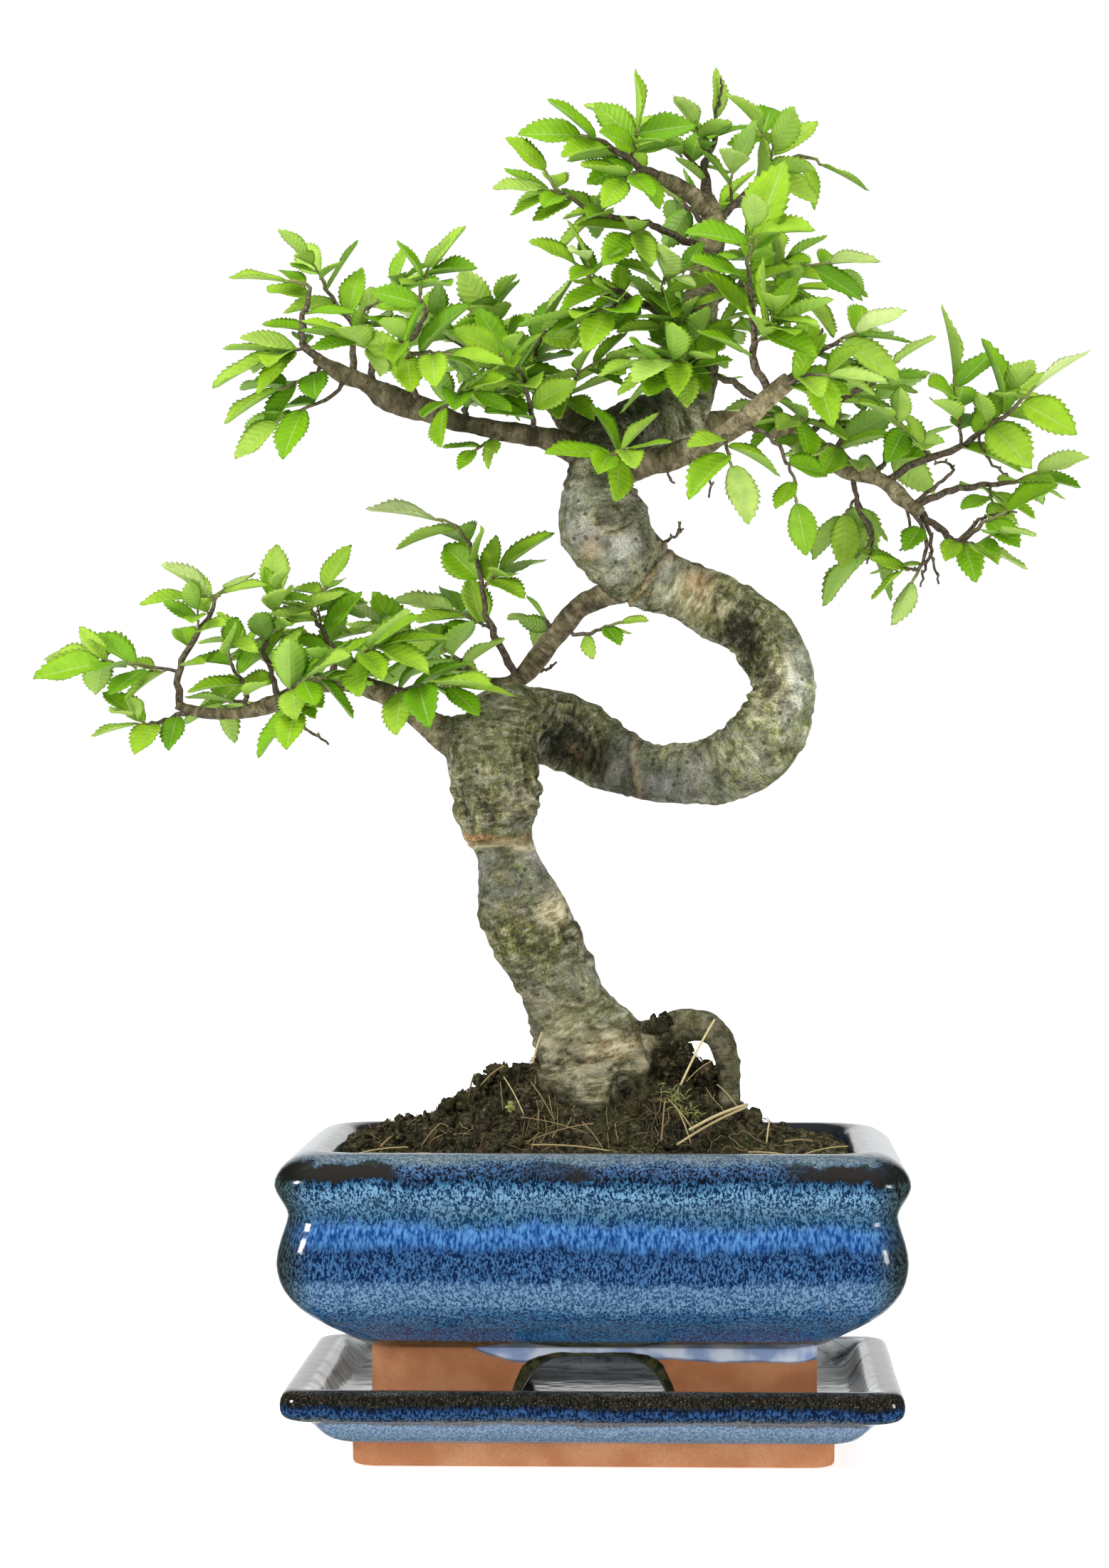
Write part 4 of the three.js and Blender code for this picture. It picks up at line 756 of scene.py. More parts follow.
def bark_material():
    made, n = material("elm_bark")
    grain = n.attribute("grain", "Vector")
    wide = n.noise(55, 4, 0.62)
    patch = n.noise(120, 4, 0.65, distortion=0.8)
    base = n.ramp(wide, [(0.34, (84, 88, 52)), (0.44, (112, 114, 78)), (0.52, (134, 134, 102)),
                         (0.59, (154, 152, 122)), (0.68, (176, 168, 138))])
    base = n.over(base, (176, 162, 132), patch, 0.56, 0.62, 0.6)
    base = n.over(base, (92, 104, 54), patch, 0.45, 0.36, 0.65)
    blotch = n.noise(230, 3, 0.6, distortion=1.0)
    base = n.over(base, (194, 188, 158), blotch, 0.58, 0.64, 0.5)
    base = n.over(base, (70, 70, 40), blotch, 0.43, 0.36, 0.55)
    # smooth silver bark with pinkish patches
    silver = n.over((128, 132, 116), (182, 182, 172), n.noise(90, 3, 0.6), 0.40, 0.60)
    silver = n.over(silver, (166, 150, 136), patch, 0.55, 0.66, 0.6)
    smoothness = n.attribute("silver")
    base = n.mix(smoothness, base, silver)
    # old bark, broken into dark and yellow crumbs
    crumbs = n.noise(330, 5, 0.7, (1, 1, 0.6), grain, 0.9)
    old = n.ramp(crumbs, [(0.36, (34, 32, 16)), (0.45, (84, 78, 46)), (0.52, (124, 122, 76)),
                          (0.59, (164, 160, 112)), (0.68, (212, 206, 168))])
    roughness = n.attribute("rough")
    base = n.mix(roughness * 0.85, base, old)
    # cracked, scaly grain that runs round the stem
    scale = n.noise(300, 5, 0.72, (0.55, 0.55, 1.6), grain)
    coarse = 1.0 - smoothness * 0.45
    base = n.mix(n.step(scale, 0.5, 0.60, 0, 0.6) * coarse, base, (198, 196, 172))
    base = n.mix(n.step(scale, 0.47, 0.37, 0, 0.8) * coarse, base, (54, 52, 30))
    # lichen dust, yellow-green, and moss in drifts
    drift = n.step(n.noise(70, 3, 0.7), 0.40, 0.60) * n.attribute("lichen")
    dust = n.step(n.noise(1050, 4, 0.7), 0.46, 0.58) * drift
    base = n.mix(dust * 0.8, base, (142, 150, 62))
    moss = n.step(n.noise(560, 4, 0.75), 0.52, 0.60) * drift
    base = n.mix(moss * 0.75, base, (56, 62, 24))
    # round dark pores
    pores = n.step(n.cells(190), 0.20, 0.08)
    base = n.mix(pores * 0.8, base, (50, 48, 32))
    fine = n.noise(1500, 3, 0.7)
    base = n.mix(n.step(fine, 0.35, 0.6, 0.5, 0), base, (58, 56, 36))
    limb = n.over((90, 76, 54), (144, 128, 98), scale, 0.34, 0.64)
    limb = n.over(limb, (160, 152, 128), blotch, 0.56, 0.64, 0.4)
    base = n.mix(n.attribute("limb") * 0.75, base, limb)
    # painted light and shade, partly the bark's own tone, and stains a few millimetres across
    tone_and_painted_light = n.step(n.attribute("shade"), 0.0, 1.0, 0.35, 1.65)
    stain = n.step(n.noise(150, 3, 0.6, distortion=0.6), 0.36, 0.64, 0.66, 1.32)
    base = n.mix(1.0, base, tone_and_painted_light * stain, "MULTIPLY")
    tan = n.over((138, 116, 74), (232, 222, 182), scale, 0.36, 0.60)
    base = n.mix(n.attribute("tan"), base, tan)
    scar = n.over((132, 74, 30), (226, 182, 124), n.noise(700, 4, 0.7), 0.38, 0.62)
    base = n.mix(n.attribute("scar"), base, scar)
    earth = n.over((30, 27, 15), (112, 104, 74), n.noise(320, 5, 0.75), 0.38, 0.62)
    base = n.mix(n.attribute("earth"), base, earth)
    # painted shade, near black, in the cracks, wrinkles, grooves and hollows, broken up a little
    broken = n.step(n.noise(380, 4, 0.7, distortion=0.6), 0.36, 0.62, 1.0, 0.35)
    n.surface(n.mix(n.attribute("crease") * broken, base, (30, 30, 15)), 0.82, 0.25)
    n.bump(scale * 1.3 + fine * 0.5 + crumbs * roughness * 1.5 + pores * -0.3, 0.0024, 0.95)
    return made


def soil_material():
    made, n = material("potting_soil")
    mottle = n.noise(360, 6, 0.78)
    tone = n.ramp(mottle, [(0.36, (14, 13, 7)), (0.45, (42, 40, 26)), (0.53, (76, 74, 52)),
                           (0.61, (116, 112, 84)), (0.70, (166, 160, 130))])
    tone = n.over(tone, (68, 72, 34), n.noise(45, 3), 0.46, 0.60, 0.45)
    # paler on the right, and painted shade under the arched root
    x = n.axes()[0]
    tone = n.mix(1.0, tone, n.step(x, 0.032, 0.052, 1.0, 1.65), "MULTIPLY")
    under_root_shade = n.step(x, 0.016, 0.022) * n.step(x, 0.050, 0.040)
    tone = n.mix(under_root_shade, tone, n.mix(1.0, tone, (0.62, 0.62, 0.62), "MULTIPLY"))
    for stretch in ((1, 0.22, 1), (0.22, 1, 1)):
        fibre = n.noise(820, 3, 0.6, stretch, distortion=1.2)
        tone = n.over(tone, (164, 152, 110), fibre, 0.60, 0.66, 0.6)
    tone = n.mix(n.attribute("tint"), tone, n.mix(mottle, (58, 40, 24), (150, 126, 88)))
    n.surface(tone, 0.95, 0.2)
    n.bump(n.noise(800, 6, 0.8), 0.0030, 1.0)
    return made


def straw_material():
    made, n = material("straw_and_roots")
    fibre = n.noise(1400, 3, 0.6)
    tone = n.ramp(n.attribute("tint"), [(0.0, (46, 36, 22)), (0.4, (96, 78, 50)),
                                        (0.7, (150, 130, 86)), (1.0, (206, 190, 140))])
    n.surface(n.over(tone, n.mix(0.5, tone, (60, 44, 26)), fibre, 0.3, 0.7, 0.35), 0.75)
    n.bump(fibre, 0.0003, 0.6)
    return made


# Materials of the pot and the saucer

def glaze_grains(n, height, tones, span, shift=(0, 0, 0)):
    """A glaze's dark and pale colours at a height, and the share of pale grains, which are longer
    upright than across, as the glaze broke while it ran."""
    low, high = span
    level = (height - low * MM) * (1 / ((high - low) * MM))
    dark, pale = (n.ramp(level, [((row[0] - low) / (high - low), row[side]) for row in tones])
                  for side in (1, 2))
    fine = n.noise(1350, 3, 0.6, (1, 1, 0.5), distortion=0.7, shift=shift)
    return dark, pale, n.step(fine, 0.455, 0.56)


def clay(n, dark, pale):
    grit = n.noise(1500, 4, 0.7)
    tone = n.over(dark, pale, n.noise(60, 3), 0.35, 0.65)
    tone = n.over(tone, (140, 84, 50), grit, 0.3, 0.7, 0.35)
    return n.over(tone, (84, 56, 38), n.cells(420), 0.10, 0.05, 0.6), grit


def half_width_at(n, x, y):
    """The half width of the ring round the pot or the saucer on which a place lies."""
    return n.maths("MAXIMUM", abs(x), abs(y) + INSET * MM)


def pot_material():
    made, n = material("pot_glaze")
    x, y, z = n.axes()
    height = (z + (n.noise(30, 3, 0.55) - 0.5) * 0.006
              + (n.noise(500, 2, 0.55, (1, 1, 0.10)) - 0.5) * 0.0035
              + (n.noise(160, 3, 0.6, (1, 1, 0.25)) - 0.5) * 0.007)
    dark, pale, grain = glaze_grains(n, height, POT_TONES, POT_SPAN)
    # in the bright band the grains give way to upright streaks
    band = n.step(height, 0.0705, 0.0735) * n.step(height, 0.0800, 0.0775)
    runs = n.step(n.noise(1100, 3, 0.6, (1, 1, 0.16)), 0.36, 0.66)
    grain = (1.0 - band) * grain + band * runs
    # and near the rim they thin out to brown-black, most of all towards both ends
    ends = n.step(abs(x), 0.030, 0.085)
    rim = n.step(height, 0.0932, 0.0952) * n.step(height, 0.0998, 0.0986)
    thin = n.step(n.noise(26, 3, 0.5) - ends * 0.24, 0.44, 0.24)
    grain = grain * (1.0 - rim * thin)
    colour = n.mix(rim * (thin * 0.8), n.mix(grain, dark, pale), (38, 34, 28))
    # darker olive on the corners at both ends: partly thinner glaze, partly a painted dark reflection
    # of the room's sides
    corner = n.step(abs(x), 0.0865, 0.0985) * n.step(abs(y), 0.056, 0.066)
    colour = n.mix(corner * 0.9, colour, n.mix(grain, (16, 20, 18), (50, 62, 52)))
    inner = n.step(z, 0.0975, 0.1000) * n.step(half_width_at(n, x, y), 0.0905, 0.0880)
    colour = n.mix(inner, colour, (40, 44, 48))
    # outer is the foot's outer face less the dark glaze round its arches
    flat = n.new("VectorMath", {0: n.place((1, 1.6, 0))}, operation="NORMALIZE")
    facing = n.new("VectorMath", {0: n.coordinate("Normal"), 1: flat}, "Value",
                   operation="DOT_PRODUCT")
    reach = abs(x) * (1 / (40 * MM))
    arch = n.ramp(reach, [(across / 40, (up / 20,) * 3) for across, up in ARCH_GLAZE])
    edge = arch * (20 * MM) + (SAUCER_FLOOR + GAP) * MM
    clear = z - edge + (n.noise(120, 2) - 0.5) * 0.002
    outer = n.step(facing, 0.45, 0.62) * (
        1.0 - n.step(clear, 0.0003, -0.0003) * n.step(reach, 0.76, 0.73))
    # bare clay below where the glaze stopped on that face, and dark olive on the rest of the foot
    run = n.noise(22, 4, 0.6, shift=(4, 2, 0)) * 0.006 + 0.0299
    above = z - (run + n.step(x, -0.020, -0.056, 0.0, 0.0085))
    on_foot = n.step(z, 0.0412, 0.0400)
    bare = n.step(above, 0.0003, -0.0002) * outer * on_foot
    # a pale strip where the belly meets the foot: partly glaze pooled there, partly a painted
    # highlight
    pool_and_highlight = n.over((140, 160, 198), (206, 214, 228), n.noise(90, 2), 0.4, 0.6)
    colour = n.mix(n.step(z, 0.0405, 0.0392) * outer, colour, pool_and_highlight)
    colour = n.mix(n.step(above, 0.0011, 0.0002) * on_foot * 0.7, colour, (44, 46, 50))
    olive = n.over((26, 30, 18), (66, 62, 34), n.noise(300, 3, 0.6), 0.4, 0.6)
    colour = n.mix((1.0 - outer) * on_foot, colour, olive)
    earth, grit = clay(n, (164, 104, 66), (184, 128, 88))
    n.surface(n.mix(bare, colour, earth), bare * 0.62 + 0.09, 0.5 - bare * 0.25)
    n.bump(n.noise(80, 3, 0.5) + grain * 0.03 + grit * bare * 0.3, 0.0007, 0.3)
    return made


def saucer_material():
    made, n = material("saucer_glaze")
    x, y, z = n.axes()
    height = (z + (n.noise(420, 2, 0.55, (1, 1, 0.15)) - 0.5) * 0.002
              + (n.noise(50, 3, 0.55) - 0.5) * 0.004)
    dark, pale, grain = glaze_grains(n, height, SAUCER_TONES, SAUCER_SPAN, (2, 5, 1))
    colour = n.mix(grain, dark, pale)
    specks = n.step(n.cells(900), 0.22, 0.10) * n.step(height, 0.0215, 0.0232)
    colour = n.mix(specks * 0.5, colour, (150, 124, 98))
    # the dish itself: greyish glaze with dark brushed streaks and cracks; its pale tones are partly a
    # painted reflection of the white backdrop
    up = n.axes(n.coordinate("Normal"))[2]
    inside = n.step(up, 0.02, 0.12) * n.step(half_width_at(n, x, y), 0.0925, 0.0905)
    brushed = n.noise(34, 4, 0.6, (1, 2.4, 1), distortion=1.5)
    dish_and_reflection = n.ramp(brushed, [(0.34, (56, 62, 54)), (0.42, (144, 152, 144)),
                            (0.49, (210, 216, 211)), (0.62, (244, 246, 245))])
    dish_and_reflection = n.over(dish_and_reflection, (60, 62, 50), n.cells(70, "DISTANCE_TO_EDGE"), 0.03, 0.0, 0.4)
    colour = n.mix(inside, colour, dish_and_reflection)
    earth, grit = clay(n, (186, 124, 82), (204, 150, 108))
    bare = n.step(n.noise(40, 3, 0.5) * 0.0014 + 0.0072 - z, -0.0002, 0.0003)
    n.surface(n.mix(bare, colour, earth), bare * 0.6 + 0.10, 0.5 - bare * 0.25)
    n.bump(n.noise(110, 3) + grit * bare * 0.3, 0.0007, 0.3)
    return made


LEAF = leaf_material()
TWIG = twig_material()
BARK = bark_material()
SOIL = soil_material()
STRAW = straw_material()


# Pot and saucer

def rounded_ring(height, half_width, corner, corner_steps=10, side_steps=8):
    """A rectangle with round corners, and points all along its sides."""
    middle = vec(half_width - corner, half_width - INSET - corner)
    arcs = []
    for start, signs in zip((0, 90, 180, 270), ((1, 1), (-1, 1), (-1, -1), (1, -1))):
        angles = np.radians(start + 90 * np.arange(corner_steps + 1) / corner_steps)
        arcs.append(middle * signs + corner * np.column_stack([np.cos(angles), np.sin(angles)]))
    share = np.arange(1, side_steps)[:, None] / side_steps
    ring = []
    for arc, following in zip(arcs, arcs[1:] + arcs[:1]):
        ring += [arc, arc[-1] + (following[0] - arc[-1]) * share]
    flat = np.vstack(ring)
    return np.column_stack([flat, np.full(len(flat), float(height))])


def lofted(name, profile, corner, glaze, uneven):
    """A closed body through the rings of a profile, a little uneven as hand work is."""
    rings = [rounded_ring(z, half, min(corner, half - INSET - 1)) for z, half in profile]
    points = np.vstack(rings)
    flat = points * (1, 1, 1.5)
    wave = noise(flat, 34, 3) * uneven + noise(flat, 12, 5) * uneven * 0.3
    points[:, :2] += units(points[:, :2]) * wave[:, None]
    made = mesh_object(name, points, ring_faces(len(rings), len(rings[0])), [glaze])
    outward_faces(made)
    return made


def foot_ring(glaze):
    """The foot: a wall round the pot's underside whose lower edge rises in an arch on each side."""
    width, wall, top, r = FOOT["outer"], FOOT["wall"], FOOT["top"], FOOT["round"]
    outer = rounded_ring(0, width, FOOT["corner"], 10, 72)
    inner = rounded_ring(0, width - wall, FOOT["inner_corner"], 10, 72)
    x, y = np.abs(outer[:, :2]).T
    lift = np.where(y > width - INSET - 1e-3, np.interp(x, *np.transpose(ARCH_FRONT)), 0)
    lift = np.where(x > width - 1e-3, np.interp(y, *np.transpose(ARCH_SIDE)), lift)
    edge = SAUCER_FLOOR + GAP + lift
    middle = edge + (top - edge) * 0.55
    # across the wall, from its top outside down, round its lower edge and up inside
    bend = [((1 - math.cos(a)) * r / wall, edge + r * (1 - math.sin(a)))
            for a in np.radians([0, 22, 45, 68, 90])]
    section = [(0, top), (0, middle), *bend, *((1 - across, z) for across, z in reversed(bend)),
               (1, middle), (1, top)]
    rings = []
    for across, z in section:
        ring = outer + (inner - outer) * across
        ring[:, 2] = np.minimum(z, top)
        rings.append(ring)
    sides, last = len(outer), (len(rings) - 1) * len(outer)
    faces = ring_faces(len(rings), sides, caps=False)
    faces += [(last + j, last + (j + 1) % sides, (j + 1) % sides, j) for j in range(sides)]
    made = mesh_object("foot", np.vstack(rings), faces, [glaze])
    outward_faces(made)
    return made


def make_pot():
    glaze = pot_material()
    pot = lofted("pot_glazed", POT_OUTER, POT_CORNER, glaze, 0.35)
    combine(pot, foot_ring(glaze), "UNION")
    sides, radius = DRAIN["sides"], DRAIN["radius"]
    for sign in (-1, 1):
        ring = [(sign * DRAIN["x"] + radius * math.cos(a), radius * math.sin(a))
                for a in np.arange(sides) * 2 * math.pi / sides]
        points = np.array([(x, y, z) for z in (34, 52) for x, y in ring])
        drill = mesh_object("drill", points, ring_faces(2, sides), [])
        outward_faces(drill)
        combine(pot, drill, "DIFFERENCE")
    outward_faces(pot)
    finish_piece(pot, "pot", SHARP)


def make_saucer():
    saucer = lofted("saucer_glazed", SAUCER_PROFILE, SAUCER_CORNER, saucer_material(), 0.15)
    finish_piece(saucer, "saucer", SHARP)


# Soil

def soil_height(x, y):
    """The mound round the trunk and a smaller one at the arched root."""
    dx, dy = x - MOUND["x"], y - MOUND["y"]
    far = np.hypot(dx / np.where(dx < 0, MOUND["left"], MOUND["right"]),
                   dy / np.where(dy < 0, MOUND["front"], MOUND["back"]))
    clod = np.hypot(x - ROOT_MOUND["x"], y - ROOT_MOUND["y"]) / ROOT_MOUND["spread"]
    return (MOUND["base"] + MOUND["rise"] * np.exp(-(far ** MOUND["power"]))
            + ROOT_MOUND["rise"] * bell(clod))


def soil_relief(x, y):
    flat = np.column_stack([x, y, np.zeros(len(x))])
    lumps = np.abs(noise(flat, 7, 11)) * 2.6 + np.abs(noise(flat, 3.2, 12)) * 2.1
    return lumps + noise(flat, 1.4, 13) * 0.5 + noise(flat, 20, 14) * 1.2 - 1.9


def soil_top(x, y):
    return soil_height(x, y) + soil_relief(x, y)


def make_soil():
    rings = [rounded_ring(z, half, 9, 12, 48) for z, half in SOIL_WALL]
    edge = rings[-1]
    for scale in np.linspace(0.995, 0.01, SOIL_RINGS) ** 0.9:
        x = MOUND["x"] + (edge[:, 0] - MOUND["x"]) * scale
        y = MOUND["y"] + (edge[:, 1] - MOUND["y"]) * scale
        lift = soil_relief(x, y) * min(1.0, (1.02 - scale) * 20)
        rings.append(np.column_stack([x, y, soil_height(x, y) + lift]))
    points = np.vstack(rings)
    made = mesh_object("soil_crumbly", points, ring_faces(len(rings), len(edge)), [SOIL])
    outward_faces(made)
    store(made, "tint", np.zeros(len(points)))
    finish_piece(made, "soil")


def ball_form():
    work = bmesh.new()
    bmesh.ops.create_icosphere(work, subdivisions=2, radius=1)
    points = np.array([v.co[:] for v in work.verts])
    faces = [tuple(v.index for v in f.verts) for f in work.faces]
    work.free()
    return points, faces


def make_litter():
    """Crumbs, fine roots, clods, moss, a seedling and straws on the soil."""
    shell = Shell()
    ball, faces = ball_form()
    rng = np.random.default_rng(7)

    def crumb(longest, size, place, dents, shift, seed):
        form = ball * rng.uniform(0.5, longest, 3) * size
        return form * (1 + dents * noise(ball * 1.6 + shift, 1.0, seed))[:, None] + place

    def away(least, most, *lean):
        return unit(rng.normal(size=3) + vec(*lean)) * rng.uniform(least, most)

    for i in range(CRUMBS):
        x, y = rng.uniform(-80, 80), rng.uniform(-55, 55)
        z = float(soil_top(vec(x), vec(y))[0])
        size = 0.5 + 2.4 * rng.random() ** 4
        form = crumb(1.3, size, vec(x, y, z + size * 0.25), 0.75, i * 9.1, 3)
        shell.add(form, faces, 0, tint=0.6 * rng.random() ** 6)
    for _ in range(FIBRES):
        x, y = rng.uniform(-78, 78), rng.uniform(-54, 54)
        heading = rng.uniform(0, 2 * math.pi)
        length = rng.uniform(5, 20)
        path = []
        for _ in range(8):
            path.append((x, y, 0))
            heading += rng.uniform(-0.45, 0.45)
            x += math.cos(heading) * length / 7
            y += math.sin(heading) * length / 7
        path = np.clip(path, (-82, -57, 0), (82, 57, 0))
        path[:, 2] = soil_top(path[:, 0], path[:, 1]) + 0.35 + rng.random(8) * 0.9
        moved = np.linalg.norm(np.diff(path, axis=0), axis=1) > 0.2
        path = path[np.concatenate([[True], moved])]
        radius = rng.uniform(0.07, 0.17)
        tube(shell, path, np.full(len(path), radius), 4, 1, tint=0.1 + rng.random() ** 1.8 * 0.65)
    for centre, half, count in CLODS:
        for i in range(count):
            place = unit(rng.normal(size=3)) * rng.random() ** 0.4 * half + centre
            form = crumb(1.4, rng.uniform(0.8, 2.3), place, 0.8, i * 5.3, 4)
            shell.add(form, faces, 0, tint=0.3 * rng.random() ** 4)
    for _ in range(SPRIGS):
        t = rng.random()
        foot = vec(25 + 7 * t, -31, 119 - 9 * t) + rng.normal(size=3) * vec(1.8, 1.5, 1.2)
        sprig = foot + away(2, 4, 0, -0.6, 0.8)
        bend = (foot + sprig) / 2 + vec(0, 0, 0.4)
        tube(shell, [foot, bend, sprig], (0.22, 0.24, 0.1), 5, 2, tint=0.75)
    for _ in range(SEEDLING_LEAVES):
        centre = vec(*SEEDLING) + away(0.6, 2.2, 0, -0.4, 0.5)
        flat = ball * (0.9, 0.9, 0.25) @ np.linalg.qr(rng.normal(size=(3, 3)))[0]
        shell.add(centre + flat, faces, 2, tint=1.0)
    for start, end, radius, tint in STRAWS:
        path = np.linspace(start, end, 9)
        path[:, 2] += np.sin(np.linspace(0, math.pi, 9)) * 0.8
        tube(shell, path, np.full(9, radius), 8, 1, tint=tint)
    shell.piece("soil_litter", None, [SOIL, STRAW, TWIG])


# Trunk

def make_trunk():
    shell = Shell()
    curves = [spline(route, 6) for route in (TRUNK_BASE, TRUNK_LOOP, *LIMBS)]
    for curve in curves:
        tube(shell, curve[:, :3], curve[:, 3] * 1.01, 28)
    made = mesh_object("trunk_bark", np.vstack(shell.points), shell.faces, [BARK])
    outward_faces(made)
    remesh = made.modifiers.new("grown", "REMESH")
    remesh.mode = "VOXEL"
    remesh.voxel_size = VOXEL * MM
    apply_modifiers(made)
    mesh = made.data
    mesh.materials.clear()
    mesh.materials.append(BARK)
    points = evened(mesh, read_points(mesh))
    write_points(mesh, points)
    dress_bark(made, points, read(mesh.vertex_normals, "vector"), curves)
    finish_piece(made, "trunk")


def evened(mesh, points):
    """The points of a mesh, evened out without shrinking it."""
    edges = np.zeros(len(mesh.edges) * 2, np.int32)
    mesh.edges.foreach_get("vertices", edges)
    a, b = edges.reshape(-1, 2).T
    degree = np.bincount(edges, minlength=len(points))[:, None]
    for i in range(EVENING):
        total = np.column_stack([np.bincount(a, points[b, axis], len(points))
                                 + np.bincount(b, points[a, axis], len(points))
                                 for axis in range(3)])
        points = points + (-0.57 if i % 2 else 0.55) * (total / degree - points)
    return points


def nearest_on_routes(points, curves):
    """For each point: the radius of the wood there, and where it is round and along its limb."""
    best = np.full(len(points), 1e9)
    radius = np.zeros(len(points))
    grain = np.zeros((len(points), 3))
    for number, curve in enumerate(curves):
        centres = curve[:, :3]
        steps = np.linalg.norm(np.diff(centres, axis=0), axis=1)
        travelled = np.concatenate([[0], np.cumsum(steps)])
        tangents = units(np.gradient(centres, axis=0))
        for start in range(0, len(points), 20000):
            part = points[start:start + 20000]
            d = np.linalg.norm(part[:, None] - centres, axis=2)
            k = d.argmin(axis=1)
            off = d[np.arange(len(part)), k] / curve[k, 3]
            nearer = np.nonzero(off < best[start:start + 20000])[0]
            rows, k = start + nearer, k[nearer]
            best[rows] = off[nearer]
            radius[rows] = curve[k, 3]
            away, t = part[nearer] - centres[k], tangents[k]
            side = np.cross(t, vec(0, 1, 0))
            side /= np.maximum(np.linalg.norm(side, axis=1), 1e-6)[:, None]
            grain[rows] = np.column_stack([
                (away * side).sum(axis=1), (away * np.cross(t, side)).sum(axis=1),
                travelled[k] + (away * t).sum(axis=1) + number * 500])
    return radius, grain


def dress_bark(made, points, normals, curves):
    """Raises the bark's relief and keeps what its material needs to know at each point."""
    radius, grain = nearest_on_routes(points, curves)
    full = np.clip(radius / 9, 0.12, 1)
    x, y, z = points.T
    lift = (noise(points, 15, 1) * 0.75 + noise(points, 7, 2) * 0.42) * full
    lift += noise(grain, (9, 9, 2.4), 3) * 0.28 * full + noise(grain, (5, 5, 1.3), 4) * 0.16 * full
    lift += noise(points, 1.8, 5) * 0.10 * np.clip(radius / 4, 0.3, 1)
    scar, tan, crease, silver, rough, shade = np.zeros((6, len(points)))
    # the last column of AREAS paints light and shade, partly the bark's own tone
    for (area_x, area_z), (wide, high), s, r, t, pale in AREAS:
        far = ((x - area_x) / wide) ** 2 + ((z - area_z) / high) ** 2
        weight = bell(far * (1 + 0.5 * noise(points, 9, 71)))
        silver += weight * s
        rough += weight * r
        tan += weight * t * (0.6 + 0.6 * noise(points, 6, 72))
        shade += weight * pale
    silver, rough = np.clip(silver, 0, 1), np.clip(rough, 0, 1)
    plates = np.abs(noise(grain, (4.2, 4.2, 6.5), 73))
    lift += rough * full * (plates * 2.0 - 0.6 + noise(points, 2.0, 74) * 0.4)
    # painted shade in the cracks between the plates
    crease += rough * smooth(0.16, 0.02, plates) * 0.65
    lift -= silver * lift * 0.35
    lift += full * smooth(0.45, 0.75, noise(points, (5, 5, 4), 76)) * 0.5
    lift += smooth(7, 4, radius) * noise(points, 6, 75) * 0.5
    # the base is wrinkled all round
    low = smooth(152, 128, z)
    folds = np.abs(noise(points, (16, 16, 3.6), 21))
    lift += low * (folds * 2.0 - 0.8 + noise(points, (8, 8, 2.0), 22) * 0.5) * full
    # painted shade in the base's wrinkles
    crease += low * smooth(0.12, 0.02, folds) * 0.8
    tan += low * smooth(-6, -14, y) * 0.38 * (0.5 + 0.5 * noise(points, 9, 23))
    for centre, across, reach, width, ridge, groove, s, t, d in RINGS:
        away = points - centre
        off = away @ unit(across) + noise(points, 6, int(centre[0]) + 60) * 1.1
        near = smooth(reach * 1.15, reach * 0.85, np.linalg.norm(away, axis=1))
        broken = 0.6 + 0.4 * noise(points, 8, int(centre[2]))
        hump = bell((off - width * 0.9) / width) * near
        dip = bell((off + width * 0.7) / (width * 0.55)) * near
        lift += (hump * ridge - dip * groove) * broken
        scar += hump * s * broken
        tan += hump * t
        # painted shade in the ring's groove
        crease += dip * d * broken
    for centre, (wide, high), rise, s, t, d in KNOTS:
        far = np.linalg.norm((points - centre) / (wide, max(wide, 8), high), axis=1)
        hump = np.exp(-(far ** 2) * 1.4)
        lift += hump * rise
        scar += hump * s
        tan += hump * t
        # painted shade round the knot's edge
        crease += bell((far - 1.25) / 0.28) * d
    for centre, (wide, high), lean, depth, lips, dark in HOLLOWS:
        dx, dy, dz = (points - centre).T
        cos, sin = math.cos(math.radians(lean)), math.sin(math.radians(lean))
        front = smooth(11, 5, dy)
        far = np.hypot((dx * cos + dz * sin) / wide, (dz * cos - dx * sin) / high)
        far += 0.15 * noise(points, 5, 81)
        inside = np.exp(-(far ** 2) * 1.3) * front
        around = bell((far - 1.55) / 0.6) * front
        wave = np.cos(2 * math.pi * (far - 1.12) / (2.8 / wide))
        lift += around * lips * (0.4 + wave) - inside * depth
        # painted shade inside the hollow and in the folds of its lips, and its bark painted darker
        # still
        crease += np.clip(inside * 1.1, 0, 1) * dark
        crease += around * smooth(0.2, -0.9, wave) * 0.75 * dark
        shade -= inside * dark * 0.9
        silver *= 1 - np.clip(inside + around, 0, 1)
        rough += around * 0.5
    write_points(made.data, points + normals * lift[:, None])
    buried = smooth(9, -2, z - soil_height(x, y) + noise(points, 5, 31) * 5)
    root = smooth(14, 24, x) * smooth(156, 148, z) * 0.75
    lichen = np.clip(0.65 + 0.5 * noise(points, 30, 41) + 0.3 * smooth(20, 60, x), 0, 1)
    lichen *= 1 - 0.5 * bell((x - 62) / 12) * bell((z - 256) / 14)
    # painted shade where the bark sinks in
    sunken_shade = np.clip(-lift - 0.35 * full, 0, 1) * 0.5
    values = {
        "scar": scar, "tan": tan, "crease": crease + sunken_shade,
        "earth": np.clip(np.maximum(buried, root), 0, 1) * 0.9, "lichen": lichen,
        "silver": silver, "rough": rough, "shade": 0.5 + 0.5 * shade,
        "limb": smooth(8, 4.5, radius) * smooth(150, 160, z),
    }
    for name, value in values.items():
        store(made, name, np.clip(value, 0, 1))
    store(made, "grain", grain * MM)


# Leaves

